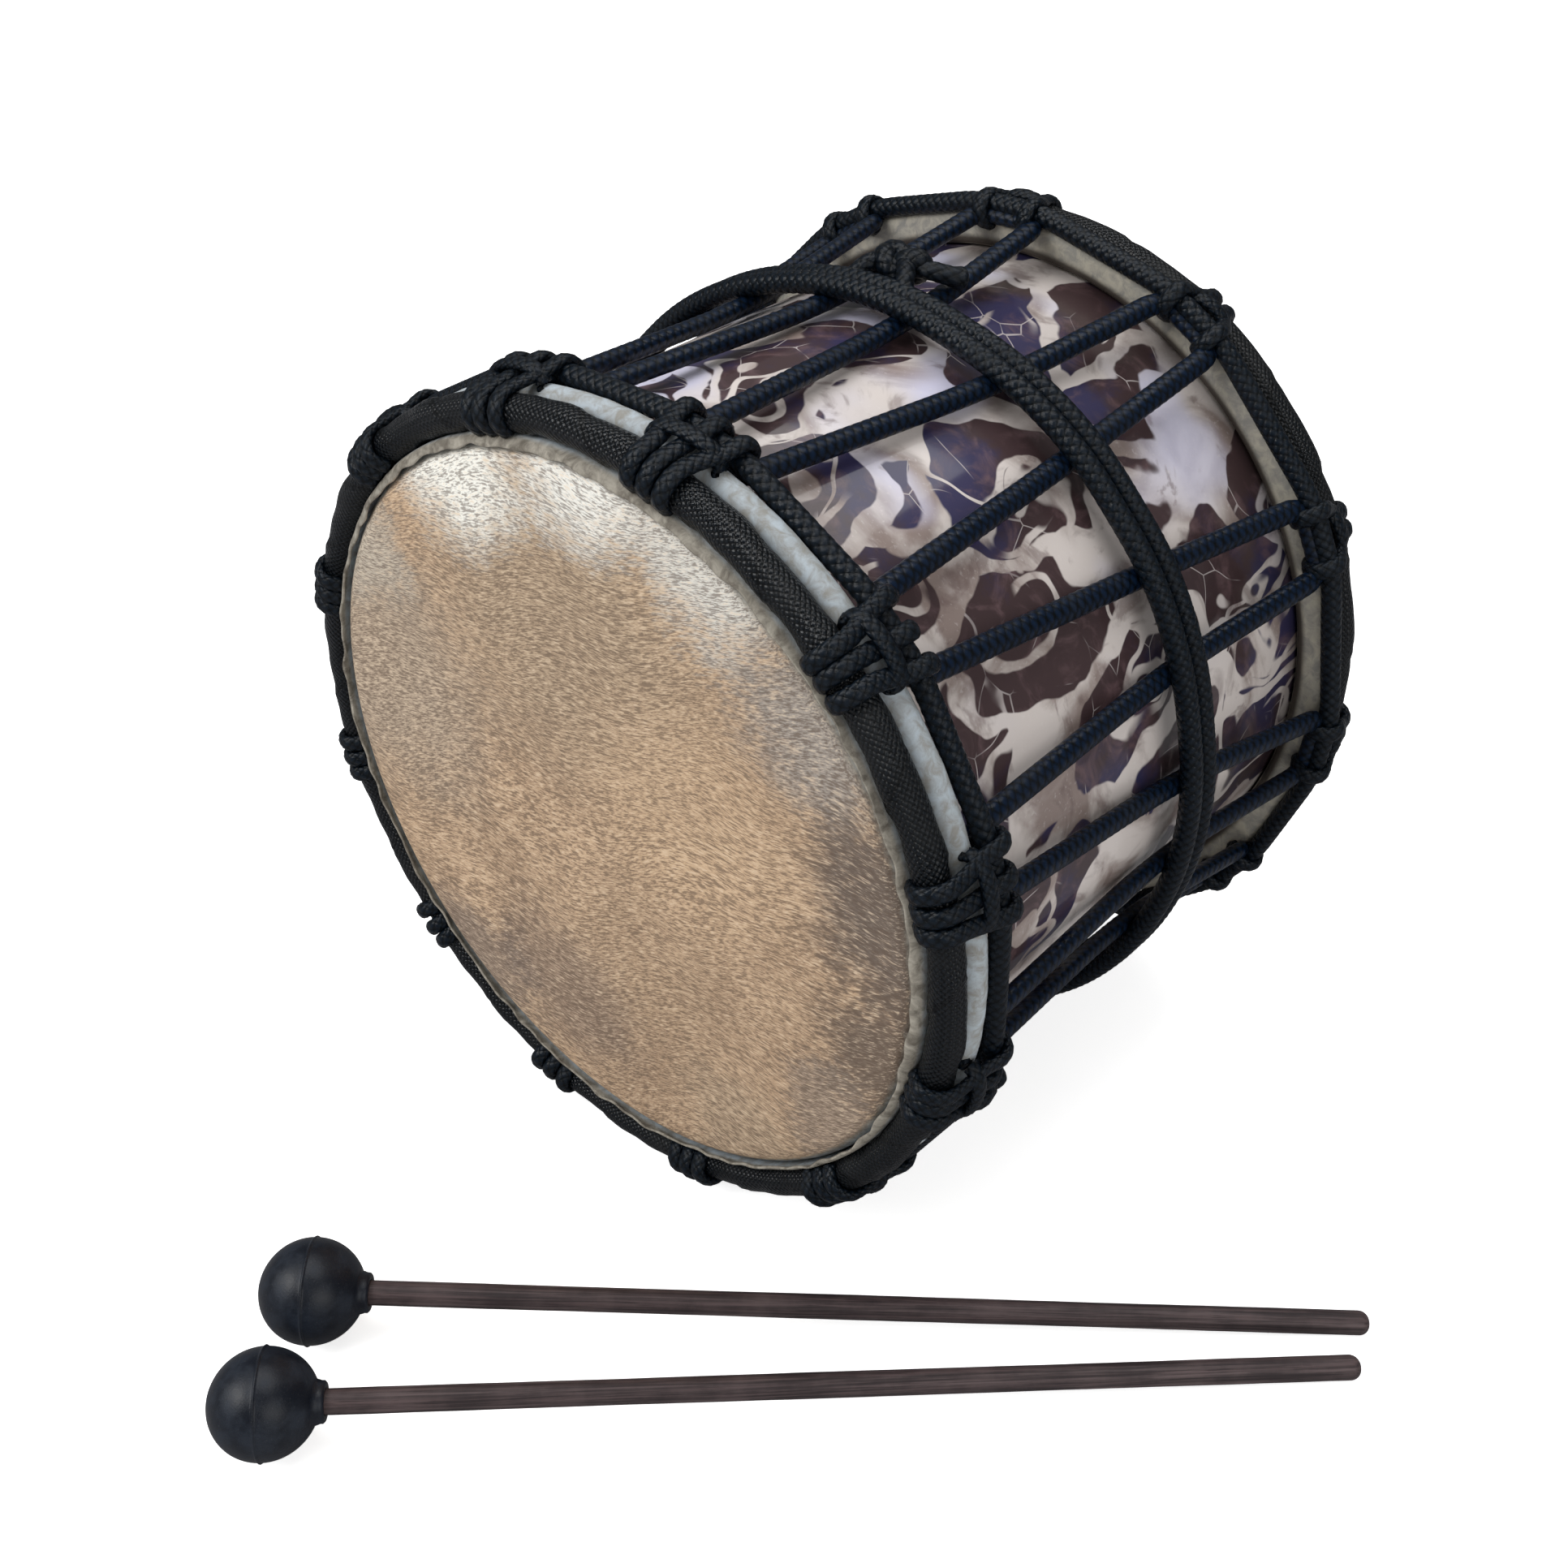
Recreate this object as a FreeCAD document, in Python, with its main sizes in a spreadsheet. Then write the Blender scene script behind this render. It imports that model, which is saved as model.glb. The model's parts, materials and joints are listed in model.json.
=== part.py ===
import FreeCAD, Part
import math
import os

import Sketcher
from FreeCAD import Placement, Rotation, Vector

# A double-headed, rope-tensioned cylinder drum lying on its side, with its two mallets.
# Row frame in millimetres: +Z up, the floor at Z = 0, the drum's axis along Y with the played
# head towards -Y. The drum is drawn in its own frame first: Y = 0 on the played head, radii
# measured from the axis. Every sub-part is then placed by the same three cells of the sheet.

# Driving dimensions: alias -> plain number in millimetres or degrees.
driving_sizes = {
    "drumX": -52.5,          # the drum's axis, across
    "headY": -29.9,          # the played head's face, along
    "axisHeight": 147.5,     # the drum's axis above the floor
    "drumLength": 232.0,     # head face to head face
    "shellInner": 119.5,
    "shellOuter": 127.5,
    "shellFront": 1.3,
    "shellBack": 230.7,
    "bearingRound": 6.0,     # rounding of the shell's two rims
    "wrapOuter": 128.3,
    "wrapFront": 9.0,
    "wrapBack": 223.0,
    "skinThickness": 1.2,
    "skinFlatRadius": 122.3,  # flat part of a head
    "skinCollarRadius": 130.8,  # trimmed skin standing inside the crown hoop
    "skinTrim": 1.0,         # how far the trimmed edge stands proud of the head
    "skinSweep": 4.0,        # bend where the skin leaves the wall for the flesh hoop
    "skinTuck": 1.3,         # bend where it turns forward again inside the crown hoop
    "fleshY": 15.2,          # flesh hoop's plane, behind the head face
    "fleshRadius": 137.5,
    "fleshWire": 3.5,        # flesh hoop's steel, half thickness
    "crownY": 4.6,
    "crownRadius": 137.3,
    "crownWire": 4.2,
    "crownBore": 4.25,
    "crownTape": 5.7,        # crown hoop with its tape winding, half thickness
    "hitchLayer": 4.3,       # rope laid over the crown hoop
    "hitchAngle": 8.0,       # width of a hitch round the drum
    "hitchFoot": 19.2,       # how far a hitch reaches back from the head face
    "hitchInnerSide": 236.0,  # round the crown's section, where a hitch starts inside the hoop
    "hitchSaddle": 292.0,
    "hitchShoulder": 315.0,
    "hitchBevelOut": 2.0,
    "hitchBevelAlong": 3.0,
    "frontHitchRadius": 150.26,
    "backHitchRadius": 147.5,
    "cradleY": 22.9,
    "cradleRadius": 143.1,
    "cradleRope": 3.2,
    "legSpread": 5.0,        # a leg leaves its hitch this many degrees to one side
    "legEndY": 24.4,
    "legEndRadius": 136.0,
    "legBeltRadius": 132.0,
    "legRope": 3.6,
    "beltArc": 80.0,         # bend of a leg where the belt presses it down
    "beltRadius": 139.6,
    "beltRope": 3.7,
    "beltFrontY": 130.1,
    "beltBackY": 137.9,
    "ballRadius": 17.3,
    "seamRadius": 17.25,
    "seamBead": 0.45,
    "collarRadius": 6.5,
    "collarLength": 19.0,
    "stickRadius": 4.0,
    "stickBore": 4.0,
    "stickStart": 6.0,       # stick's buried end, from the ball's centre
    "stickEnd": 349.0,       # stick's free end, from the ball's centre
    "stickRound": 3.2,
}

# Hand-tied hitches: angles round the drum in degrees, from +X towards +Z. The rope zigzags
# from one front hitch to the next back hitch and on, so the two lists interleave.
front_angles = [105, 77, 46, 16.5, -13.5, -44.5, -75, -105, -135, -165, -195, -225]
back_angles = [92, 60.5, 26.5, -5.5, -34, -62, -90, -119, -149, -180, -210, -239]

# Mallets on the floor: centre of the ball (X, Y in the row frame) and the stick's heading.
mallet_layout = {
    "mallet_1": {"ball": (-69.6, -154.2), "heading": 41.3},
    "mallet_2": {"ball": (-46.0, -190.3), "heading": 45.5},
}

belt_knot_place = {"angle": 92.0, "along": 151.0, "radius": 142.6}
belt_knot_half = (13.5, 7.5, 6.6)
belt_tail_route = [(143.5, 84.0, 152.0), (142.0, 80.0, 156.5), (139.5, 77.0, 163.0), (137.0, 74.5, 170.0)]
end_knot_place = {"angle": -20.5, "along": 33.5, "radius": 142.5}
end_knot_half = (6.5, 7.5, 6.0)

snug = 0.05       # gap between pieces that lie against each other
join_gap = 0.2    # gap between a rope's two ends where it closes on itself
arc_share = 0.45  # part of the shorter run that a free arc takes up

doc = FreeCAD.newDocument("drum")
sheet = doc.addObject("Spreadsheet::Sheet", "Sizes")
for row, (alias, value) in enumerate(driving_sizes.items(), start=1):
    sheet.set(f"A{row}", alias)
    sheet.set(f"B{row}", str(value))
    sheet.setAlias(f"B{row}", alias)
doc.recompute()

sub_parts = []


def size(alias):
    return float(sheet.get(alias))


def keep(item, label):
    """Names a finished sub-part after its file."""
    item.Label = label
    sub_parts.append(item)
    return item


def place_on_drum(item, along="0", turn=None):
    """Puts an item in the drum's frame, some way behind the played head."""
    if turn is not None:
        item.Placement = Placement(Vector(), turn)
    item.setExpression("Placement.Base.x", "Sizes.drumX")
    item.setExpression("Placement.Base.y", f"Sizes.headY + {along}")
    item.setExpression("Placement.Base.z", "Sizes.axisHeight")
    return item


def end_plane(name, back):
    """Where a hoop's plane lies: measured from the played head, or mirrored from the other."""
    return f"Sizes.drumLength - Sizes.{name}" if back else f"Sizes.{name}"


def bind_point(sketch, line, x_alias, y_alias):
    """Fixes a line's start point to two cells."""
    for kind, alias in (("DistanceX", x_alias), ("DistanceY", y_alias)):
        number = sketch.addConstraint(Sketcher.Constraint(kind, -1, 1, line, 1, size(alias)))
        sketch.setExpression(f"Constraints[{number}]", f"Sizes.{alias}")


def turned_ring(name, inner, outer, front, back):
    """A body turned about the drum's axis from a rectangle given by four cells."""
    body = doc.addObject("PartDesign::Body", name)
    plane = [f for f in body.Origin.OriginFeatures if f.Role == "XY_Plane"][0]
    sketch = body.newObject("Sketcher::SketchObject", name + "_profile")
    sketch.AttachmentSupport = (plane, [""])
    sketch.MapMode = "FlatFace"
    corners = [(inner, front), (outer, front), (outer, back), (inner, back)]
    for number, (x_alias, y_alias) in enumerate(corners):
        next_x, next_y = corners[(number + 1) % 4]
        start = Vector(size(x_alias), size(y_alias), 0)
        stop = Vector(size(next_x), size(next_y), 0)
        sketch.addGeometry(Part.LineSegment(start, stop), False)
    for number in range(4):
        following = (number + 1) % 4
        sketch.addConstraint(Sketcher.Constraint("Coincident", number, 2, following, 1))
    for number, (x_alias, y_alias) in enumerate(corners):
        bind_point(sketch, number, x_alias, y_alias)
    turned = body.newObject("PartDesign::Revolution", name + "_turned")
    turned.Profile = sketch
    turned.ReferenceAxis = (sketch, ["V_Axis"])
    turned.Angle = 360
    doc.recompute()
    return body, turned


def make_shell():
    body, turned = turned_ring("shell", "shellInner", "shellOuter", "shellFront", "shellBack")
    rims = []
    for number, edge in enumerate(turned.Shape.Edges, start=1):
        if isinstance(edge.Curve, Part.Circle) and abs(edge.Curve.Radius - size("shellOuter")) < 0.01:
            rims.append(f"Edge{number}")
    rounding = body.newObject("PartDesign::Fillet", "bearing_edges")
    rounding.Base = (turned, rims)
    rounding.setExpression("Radius", "Sizes.bearingRound")
    keep(place_on_drum(body), "shell")


def make_shell_wrap():
    body, _ = turned_ring("shell_wrap", "shellOuter", "wrapOuter", "wrapFront", "wrapBack")
    keep(place_on_drum(body), "shell_wrap")


def hoop(name, radius, half, along):
    """A round-section hoop square to the drum's axis."""
    ring = doc.addObject("Part::Torus", name)
    ring.setExpression("Radius1", f"Sizes.{radius}")
    ring.setExpression("Radius2", f"Sizes.{half}")
    return place_on_drum(ring, along, Rotation(Vector(1, 0, 0), -90))


def make_hoops(end, back):
    flesh = end_plane("fleshY", back)
    crown = end_plane("crownY", back)
    keep(hoop(f"{end}_flesh_hoop", "fleshRadius", "fleshWire", flesh), f"{end}_flesh_hoop")
    keep(hoop(f"{end}_crown_hoop", "crownRadius", "crownWire", crown), f"{end}_crown_hoop")
    winding = doc.addObject("Part::Cut", f"{end}_crown_wrap")
    winding.Base = hoop(f"{end}_winding_outside", "crownRadius", "crownTape", crown)
    winding.Tool = hoop(f"{end}_winding_inside", "crownRadius", "crownBore", crown)
    keep(winding, f"{end}_crown_wrap")


def strip_edges(path, shift):
    """One side of a strip: the path's runs and arcs, moved sideways by shift."""
    edges = []
    for piece in path:
        if piece[0] == "run":
            _, start, stop = piece
            heading = (stop - start).normalize()
            aside = Vector(heading.y, -heading.x, 0) * shift
            edges.append(Part.makeLine(start + aside, stop + aside))
        else:
            _, centre, radius, first, last = piece
            wide = radius + shift if last > first else radius - shift
            low, high = sorted((first, last))
            edges.append(Part.makeCircle(wide, centre, Vector(0, 0, 1), low, high))
    return edges


def skin_path():
    """The skin's middle line, in the XY plane: X is the radius and Y runs back from the head."""
    half = size("skinThickness") / 2
    flat = size("skinFlatRadius")
    round_radius = size("wrapOuter") + half - flat
    wall = flat + round_radius
    knee = half + round_radius
    roll = size("fleshWire") + half + snug
    flesh = Vector(size("fleshRadius"), size("fleshY"), 0)
    under = flesh.y + roll
    over = flesh.y - roll
    sweep = size("skinSweep")
    collar = size("skinCollarRadius")
    tuck = size("skinTuck")
    return [
        ("run", Vector(0, half, 0), Vector(flat, half, 0)),
        ("arc", Vector(flat, knee, 0), round_radius, 270, 360),
        ("run", Vector(wall, knee, 0), Vector(wall, under - sweep, 0)),
        ("arc", Vector(wall + sweep, under - sweep, 0), sweep, 180, 90),
        ("run", Vector(wall + sweep, under, 0), Vector(flesh.x, under, 0)),
        ("arc", flesh, roll, 90, -90),
        ("run", Vector(flesh.x, over, 0), Vector(collar + tuck, over, 0)),
        ("arc", Vector(collar + tuck, over - tuck, 0), tuck, 90, 180),
        ("run", Vector(collar, over - tuck, 0), Vector(collar, -size("skinTrim"), 0)),
    ]


def make_head(end, back):
    """A skin: flat head, down the shell's wall, round the flesh hoop and up inside the crown."""
    half = size("skinThickness") / 2
    path = skin_path()
    outside = strip_edges(path, half)
    inside = strip_edges(path, -half)
    axis_end = Part.makeLine(Vector(0, 0, 0), Vector(0, 2 * half, 0))
    edge = path[-1][2]
    trimmed = Part.makeLine(edge + Vector(half, 0, 0), edge - Vector(half, 0, 0))
    outline = Part.Wire(Part.__sortEdges__(outside + inside + [axis_end, trimmed]))
    solid = Part.Face(outline).revolve(Vector(), Vector(0, 1, 0), 360)
    head = doc.addObject("Part::Feature", f"{end}_head")
    head.Shape = mirrored_end(solid, back)
    keep(place_on_drum(head), f"{end}_head")


def mirrored_end(shape, back):
    """A front-end shape, or its mirror image at the drum's other end."""
    if not back:
        return shape
    return shape.mirror(Vector(0, size("drumLength") / 2, 0), Vector(0, 1, 0))


def heading_at(degrees):
    """A unit vector in the XY plane, turned from X towards Y."""
    return Vector(math.cos(math.radians(degrees)), math.sin(math.radians(degrees)), 0)


def hitch_solid(outer_radius):
    """One hitch at angle zero: rope over the crown hoop with its foot down to the cradle."""
    centre = Vector(size("crownRadius"), size("crownY"), 0)
    near = size("crownTape") + snug
    far = near + size("hitchLayer")
    inward = heading_at(size("hitchInnerSide"))
    saddle = heading_at(size("hitchSaddle"))
    shoulder = heading_at(size("hitchShoulder"))
    front = heading_at(270)
    beside = centre + heading_at(0) * near
    foot = size("hitchFoot")
    inner_foot = Vector(beside.x, foot, 0)
    outer_foot = Vector(outer_radius - size("hitchBevelOut"), foot, 0)
    heel = Vector(outer_radius, foot - size("hitchBevelAlong"), 0)
    crest = Vector(outer_radius, centre.y, 0)
    edges = [
        Part.Arc(centre + inward * near, centre + saddle * near, beside).toShape(),
        Part.makeLine(beside, inner_foot),
        Part.makeLine(inner_foot, outer_foot),
        Part.makeLine(outer_foot, heel),
        Part.makeLine(heel, crest),
        Part.makeLine(crest, centre + shoulder * far),
        Part.Arc(centre + shoulder * far, centre + front * far, centre + inward * far).toShape(),
        Part.makeLine(centre + inward * far, centre + inward * near),
    ]
    width = size("hitchAngle")
    outline = Part.Face(Part.Wire(edges))
    outline.rotate(Vector(), Vector(0, 1, 0), width / 2)
    return outline.revolve(Vector(), Vector(0, 1, 0), -width)


def make_hitches(end, back):
    angles = back_angles if back else front_angles
    radius = size("backHitchRadius") if back else size("frontHitchRadius")
    solid = mirrored_end(hitch_solid(radius), back)
    copies = []
    for angle in angles:
        copy = solid.copy()
        copy.rotate(Vector(), Vector(0, 1, 0), -angle)
        copies.append(copy)
    group = doc.addObject("Part::Feature", f"{end}_hitches")
    group.Shape = Part.makeCompound(copies)
    keep(place_on_drum(group), f"{end}_hitches")


def on_drum(radius, angle, along):
    """A point from its radius, its angle round the drum and its distance behind the head."""
    turn = math.radians(angle)
    return Vector(radius * math.cos(turn), along, radius * math.sin(turn))


def rounded_route(points, radii):
    """Straight runs joined by tangent arcs. radii gives an arc's radius, or None for the largest."""
    edges = []
    start = points[0]
    for number in range(1, len(points) - 1):
        before, corner, after = points[number - 1 : number + 2]
        back_run, next_run = before - corner, after - corner
        half_turn = (math.pi - back_run.getAngle(next_run)) / 2
        shorter = min(back_run.Length, next_run.Length)
        radius = radii[number] or arc_share * shorter / math.tan(half_turn)
        back_run.normalize()
        next_run.normalize()
        reach = radius * math.tan(half_turn)
        first = corner + back_run * reach
        last = corner + next_run * reach
        inward = (back_run + next_run).normalize()
        middle = corner + inward * (radius / math.cos(half_turn) - radius)
        edges.append(Part.makeLine(start, first))
        edges.append(Part.Arc(first, middle, last).toShape())
        start = last
    edges.append(Part.makeLine(start, points[-1]))
    return Part.Wire(edges)


def rope(name, points, radii, half):
    """A round rope along a rounded route; its volume is checked against section times length."""
    route = rounded_route(points, radii)
    heading = (points[1] - points[0]).normalize()
    section = Part.Wire(Part.makeCircle(half, points[0], heading))
    solid = route.makePipeShell([section], True, False)
    expected = math.pi * half * half * route.Length
    print(f"{name}: length {route.Length:.0f}, volume {solid.Volume / expected:.4f} of the expected")
    item = doc.addObject("Part::Feature", name)
    item.Shape = solid
    return keep(place_on_drum(item), name)


def make_cradle(end, back):
    """The rope that links one end's hitches: straight runs, with a corner where each leg pulls."""
    angles = back_angles if back else front_angles
    along = size("drumLength") - size("cradleY") if back else size("cradleY")
    spread = size("legSpread")
    radius = size("cradleRadius")
    corners = []
    for angle in angles:
        corners += [on_drum(radius, angle + spread, along), on_drum(radius, angle - spread, along)]
    join = (corners[0] + corners[1]) / 2
    gap = (corners[1] - corners[0]).normalize() * (join_gap / 2)
    points = [join + gap] + corners[1:] + [corners[0], join - gap]
    rope(f"{end}_cradle_rope", points, [None] * len(points), size("cradleRope"))


def make_tension_rope():
    """One rope laced between the two cradles in a zigzag, pressed down midway by the belt."""
    spread = size("legSpread")
    near = size("legEndY")
    far = size("drumLength") - near
    belt = (size("beltFrontY") + size("beltBackY")) / 2
    end_radius = size("legEndRadius")
    share = (belt - near) / (far - near)
    order = front_angles[4:] + [a - 360 for a in front_angles[:5]]
    back_order = back_angles[4:] + [a - 360 for a in back_angles[:4]]
    turns = []
    radii = []
    hook = size("cradleRope") + size("legRope")
    for front, back, following in zip(order, back_order, order[1:]):
        ends = [front - spread, back + spread, back - spread, following + spread]
        pressed = [ends[0] + (ends[1] - ends[0]) * share, ends[3] + (ends[2] - ends[3]) * share]
        turns += [
            on_drum(end_radius, ends[0], near),
            on_drum(size("legBeltRadius"), pressed[0], belt),
            on_drum(end_radius, ends[1], far),
            on_drum(end_radius, ends[2], far),
            on_drum(size("legBeltRadius"), pressed[1], belt),
            on_drum(end_radius, ends[3], near),
        ]
        radii += [hook, size("beltArc"), hook, hook, size("beltArc"), hook]
    join = (turns[0] + turns[-1]) / 2
    gap = (turns[0] - join).normalize() * (join_gap / 2)
    points = [join + gap] + turns + [join - gap]
    rope("tension_rope", points, [None] + radii + [None], size("legRope"))


def make_belt():
    """The belt rope goes twice round over the legs; its two turns lie side by side."""
    keep(hoop("belt_rope_front", "beltRadius", "beltRope", "Sizes.beltFrontY"), "belt_rope_front")
    keep(hoop("belt_rope_back", "beltRadius", "beltRope", "Sizes.beltBackY"), "belt_rope_back")


def make_knot(name, where, half):
    """A plain egg in a knot's place: half sizes round the drum, along it and outward."""
    stretch = FreeCAD.Matrix()
    stretch.scale(half[2], half[1], half[0])
    stretch.move(Vector(where["radius"], where["along"], 0))
    stretch.rotateY(math.radians(-where["angle"]))
    item = doc.addObject("Part::Feature", name)
    item.Shape = Part.makeSphere(1).transformGeometry(stretch)
    keep(place_on_drum(item), name)


def make_belt_tail():
    points = [on_drum(*place) for place in belt_tail_route]
    rope("belt_tail", points, [None] * len(points), size("beltRope"))


def turned_stick(name):
    """A round stick along X with both ends rounded."""
    body = doc.addObject("PartDesign::Body", name)
    plane = [f for f in body.Origin.OriginFeatures if f.Role == "YZ_Plane"][0]
    sketch = body.newObject("Sketcher::SketchObject", name + "_section")
    sketch.AttachmentSupport = (plane, [""])
    sketch.MapMode = "FlatFace"
    sketch.setExpression("AttachmentOffset.Base.z", "Sizes.stickStart")
    sketch.addGeometry(Part.Circle(Vector(), Vector(0, 0, 1), size("stickRadius")), False)
    sketch.addConstraint(Sketcher.Constraint("Coincident", 0, 3, -1, 1))
    number = sketch.addConstraint(Sketcher.Constraint("Radius", 0, size("stickRadius")))
    sketch.setExpression(f"Constraints[{number}]", "Sizes.stickRadius")
    pad = body.newObject("PartDesign::Pad", name + "_length")
    pad.Profile = sketch
    pad.setExpression("Length", "Sizes.stickEnd - Sizes.stickStart")
    doc.recompute()
    ends = [f"Edge{n}" for n, e in enumerate(pad.Shape.Edges, 1) if isinstance(e.Curve, Part.Circle)]
    rounding = body.newObject("PartDesign::Fillet", name + "_ends")
    rounding.Base = (pad, ends)
    rounding.setExpression("Radius", "Sizes.stickRound")
    return body


def along_stick(item, start=None):
    """Turns a primitive's Z axis onto the stick's X axis."""
    item.Placement = Placement(Vector(), Rotation(Vector(0, 1, 0), 90))
    if start:
        item.setExpression("Placement.Base.x", start)
    return item


def moulded_ball(name):
    """A rubber ball with a mould seam, a short collar round the stick and a blind bore."""
    ball = doc.addObject("Part::Sphere", name + "_round")
    ball.setExpression("Radius", "Sizes.ballRadius")
    seam = along_stick(doc.addObject("Part::Torus", name + "_seam"))
    seam.setExpression("Radius1", "Sizes.seamRadius")
    seam.setExpression("Radius2", "Sizes.seamBead")
    collar = along_stick(doc.addObject("Part::Cylinder", name + "_collar"))
    collar.setExpression("Radius", "Sizes.collarRadius")
    collar.setExpression("Height", "Sizes.collarLength")
    rubber = doc.addObject("Part::MultiFuse", name + "_rubber")
    rubber.Shapes = [ball, seam, collar]
    bore = along_stick(doc.addObject("Part::Cylinder", name + "_bore"), "Sizes.stickStart")
    bore.setExpression("Radius", "Sizes.stickBore")
    bore.setExpression("Height", "2 * Sizes.ballRadius")
    moulded = doc.addObject("Part::Cut", name)
    moulded.Base = rubber
    moulded.Tool = bore
    return moulded


def make_mallet(name, layout):
    """A mallet lies on its ball and on the free end of its stick."""
    span = size("stickEnd") - size("stickRound")
    lift = size("seamRadius") + size("seamBead")
    slope = math.degrees(math.asin((lift - size("stickRadius")) / span))
    turn = Rotation(Vector(0, 0, 1), layout["heading"]).multiply(Rotation(Vector(0, 1, 0), slope))
    place = Placement(Vector(*layout["ball"], lift), turn)
    for suffix, item in (("stick", turned_stick(name + "_stick")), ("ball", moulded_ball(name + "_ball"))):
        item.Placement = place
        keep(item, f"{name}_{suffix}")


def check_document():
    """Stops before anything is written if an object failed or a shape is bad."""
    for item in doc.Objects:
        if "Invalid" in item.State or "Error" in item.State:
            raise RuntimeError(f"{item.Name} failed: {item.State}")
    for item in sub_parts:
        if item.Shape.isNull() or not item.Shape.isValid():
            raise RuntimeError(f"{item.Label} has no valid shape")


make_shell()
make_shell_wrap()
for end, back in (("front", False), ("back", True)):
    make_head(end, back)
    make_hoops(end, back)
    make_hitches(end, back)
    make_cradle(end, back)
make_tension_rope()
make_belt()
make_knot("belt_knot", belt_knot_place, belt_knot_half)
make_belt_tail()
make_knot("rope_end_knot", end_knot_place, end_knot_half)
for mallet, layout in mallet_layout.items():
    make_mallet(mallet, layout)

doc.recompute()
check_document()
os.makedirs("parts", exist_ok=True)
whole = FreeCAD.BoundBox()
for item in sub_parts:
    item.Shape.exportStep(f"parts/{item.Label}.step")
    whole.add(item.Shape.optimalBoundingBox(False, False))
    print(f"{item.Label}: {len(item.Shape.Solids)} solid(s), volume {item.Shape.Volume:.0f}")
for name in ("X", "Y", "Z"):
    low, high = getattr(whole, name + "Min"), getattr(whole, name + "Max")
    print(f"whole {name}: {low:.2f} to {high:.2f}")
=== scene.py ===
import bpy
import json
import math
import numpy as np
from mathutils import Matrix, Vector


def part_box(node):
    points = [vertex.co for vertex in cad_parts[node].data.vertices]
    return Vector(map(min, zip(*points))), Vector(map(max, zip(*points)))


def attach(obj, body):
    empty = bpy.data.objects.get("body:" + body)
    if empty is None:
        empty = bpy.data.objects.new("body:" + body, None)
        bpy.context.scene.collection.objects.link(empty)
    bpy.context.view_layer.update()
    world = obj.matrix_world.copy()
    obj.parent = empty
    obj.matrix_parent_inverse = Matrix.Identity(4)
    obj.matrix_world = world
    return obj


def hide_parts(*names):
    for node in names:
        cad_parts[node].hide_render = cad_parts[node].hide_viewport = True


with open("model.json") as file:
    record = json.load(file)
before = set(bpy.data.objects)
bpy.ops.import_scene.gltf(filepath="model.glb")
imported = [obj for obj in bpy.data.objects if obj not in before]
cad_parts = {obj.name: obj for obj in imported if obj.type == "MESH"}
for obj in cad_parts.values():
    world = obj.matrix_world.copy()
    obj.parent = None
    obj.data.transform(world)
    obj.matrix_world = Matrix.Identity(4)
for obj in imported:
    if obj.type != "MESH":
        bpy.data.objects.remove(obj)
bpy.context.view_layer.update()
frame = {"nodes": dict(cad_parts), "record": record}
bpy.context.scene.view_settings.view_transform = "Standard"
print("frame loaded")

mm = 0.001
draws = np.random.default_rng(11)   # every random choice below comes from here

# The drum's own frame, in millimetres: radius and angle round its axis, and distance
# behind the played head. Both heads are mounts of the record.
mounts = {mount["name"]: Vector(mount["pos_m"]) for mount in frame["record"]["mounts"]}
headCentre = mounts["played_head"]
drumLength = (mounts["rear_head"].y - headCentre.y) / mm
frontAngles = [105, 77, 46, 16.5, -13.5, -44.5, -75, -105, -135, -165, -195, -225]
backAngles = [92, 60.5, 26.5, -5.5, -34, -62, -90, -119, -149, -180, -210, -239]

drum = {
    "crownY": 4.6, "crownRadius": 137.3,
    "fleshY": 15.2, "fleshRadius": 137.5,
    "cradleY": 22.9, "cradleRadius": 143.1,
    "legY": 24.4, "legRadius": 136.0, "legSpread": 5.0, "legBeltRadius": 132.0,
    "beltY": 134.0, "beltRadius": 139.6,
}


def onDrum(radius, angle, along):
    turn = np.radians(angle)
    return np.stack(np.broadcast_arrays(radius * np.cos(turn), along, radius * np.sin(turn)), axis=-1)


def toRow(places):
    return np.asarray(places) * mm + np.array(headCentre)


def endY(along, back):
    return drumLength - along if back else along


# The node tree of the first of these values that comes from a node.
def treeOf(*values):
    return next(value.id_data for value in values if isinstance(value, bpy.types.NodeSocket))


def newNode(tree, kind, settings=None):
    node = tree.nodes.new("ShaderNode" + kind)
    for key, value in (settings or {}).items():
        setattr(node, key, value)
    return node


def feed(socket, value):
    if isinstance(value, bpy.types.NodeSocket):
        socket.id_data.links.new(value, socket)
    elif value is not None:
        socket.default_value = value


def addNode(kind, settings=None, **inputs):
    node = newNode(treeOf(*inputs.values()), kind, settings)
    for key, value in inputs.items():
        feed(node.inputs[key.replace("_", " ")], value)
    return node


def maths(operation, *values):
    node = newNode(treeOf(*values), "Math", {"operation": operation})
    for socket, value in zip(node.inputs, values):
        feed(socket, value)
    return node.outputs[0]


def times(first, second):
    return maths("MULTIPLY", first, second)


def timesPlus(first, second, third):
    return maths("MULTIPLY_ADD", first, second, third)


def mix(factor, first, second):
    node = newNode(treeOf(factor), "Mix", {"data_type": "RGBA"})
    feed(node.inputs[0], factor)
    for socket, value in ((node.inputs[6], first), (node.inputs[7], second)):
        feed(socket, (*value, 1) if isinstance(value, tuple) else value)
    return node.outputs[2]


def fade(value, low, high, outLow=0.0, outHigh=1.0):
    node = newNode(treeOf(value), "MapRange", {"interpolation_type": "SMOOTHSTEP"})
    for socket, number in zip(node.inputs, (value, low, high, outLow, outHigh)):
        feed(socket, number)
    return node.outputs[0]


def noise(vector, scale, detail=3.0, roughness=0.5, distortion=0.0):
    node = addNode("TexNoise", Vector=vector, Scale=scale, Detail=detail, Roughness=roughness,
                   Distortion=distortion)
    return node.outputs[0]


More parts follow.
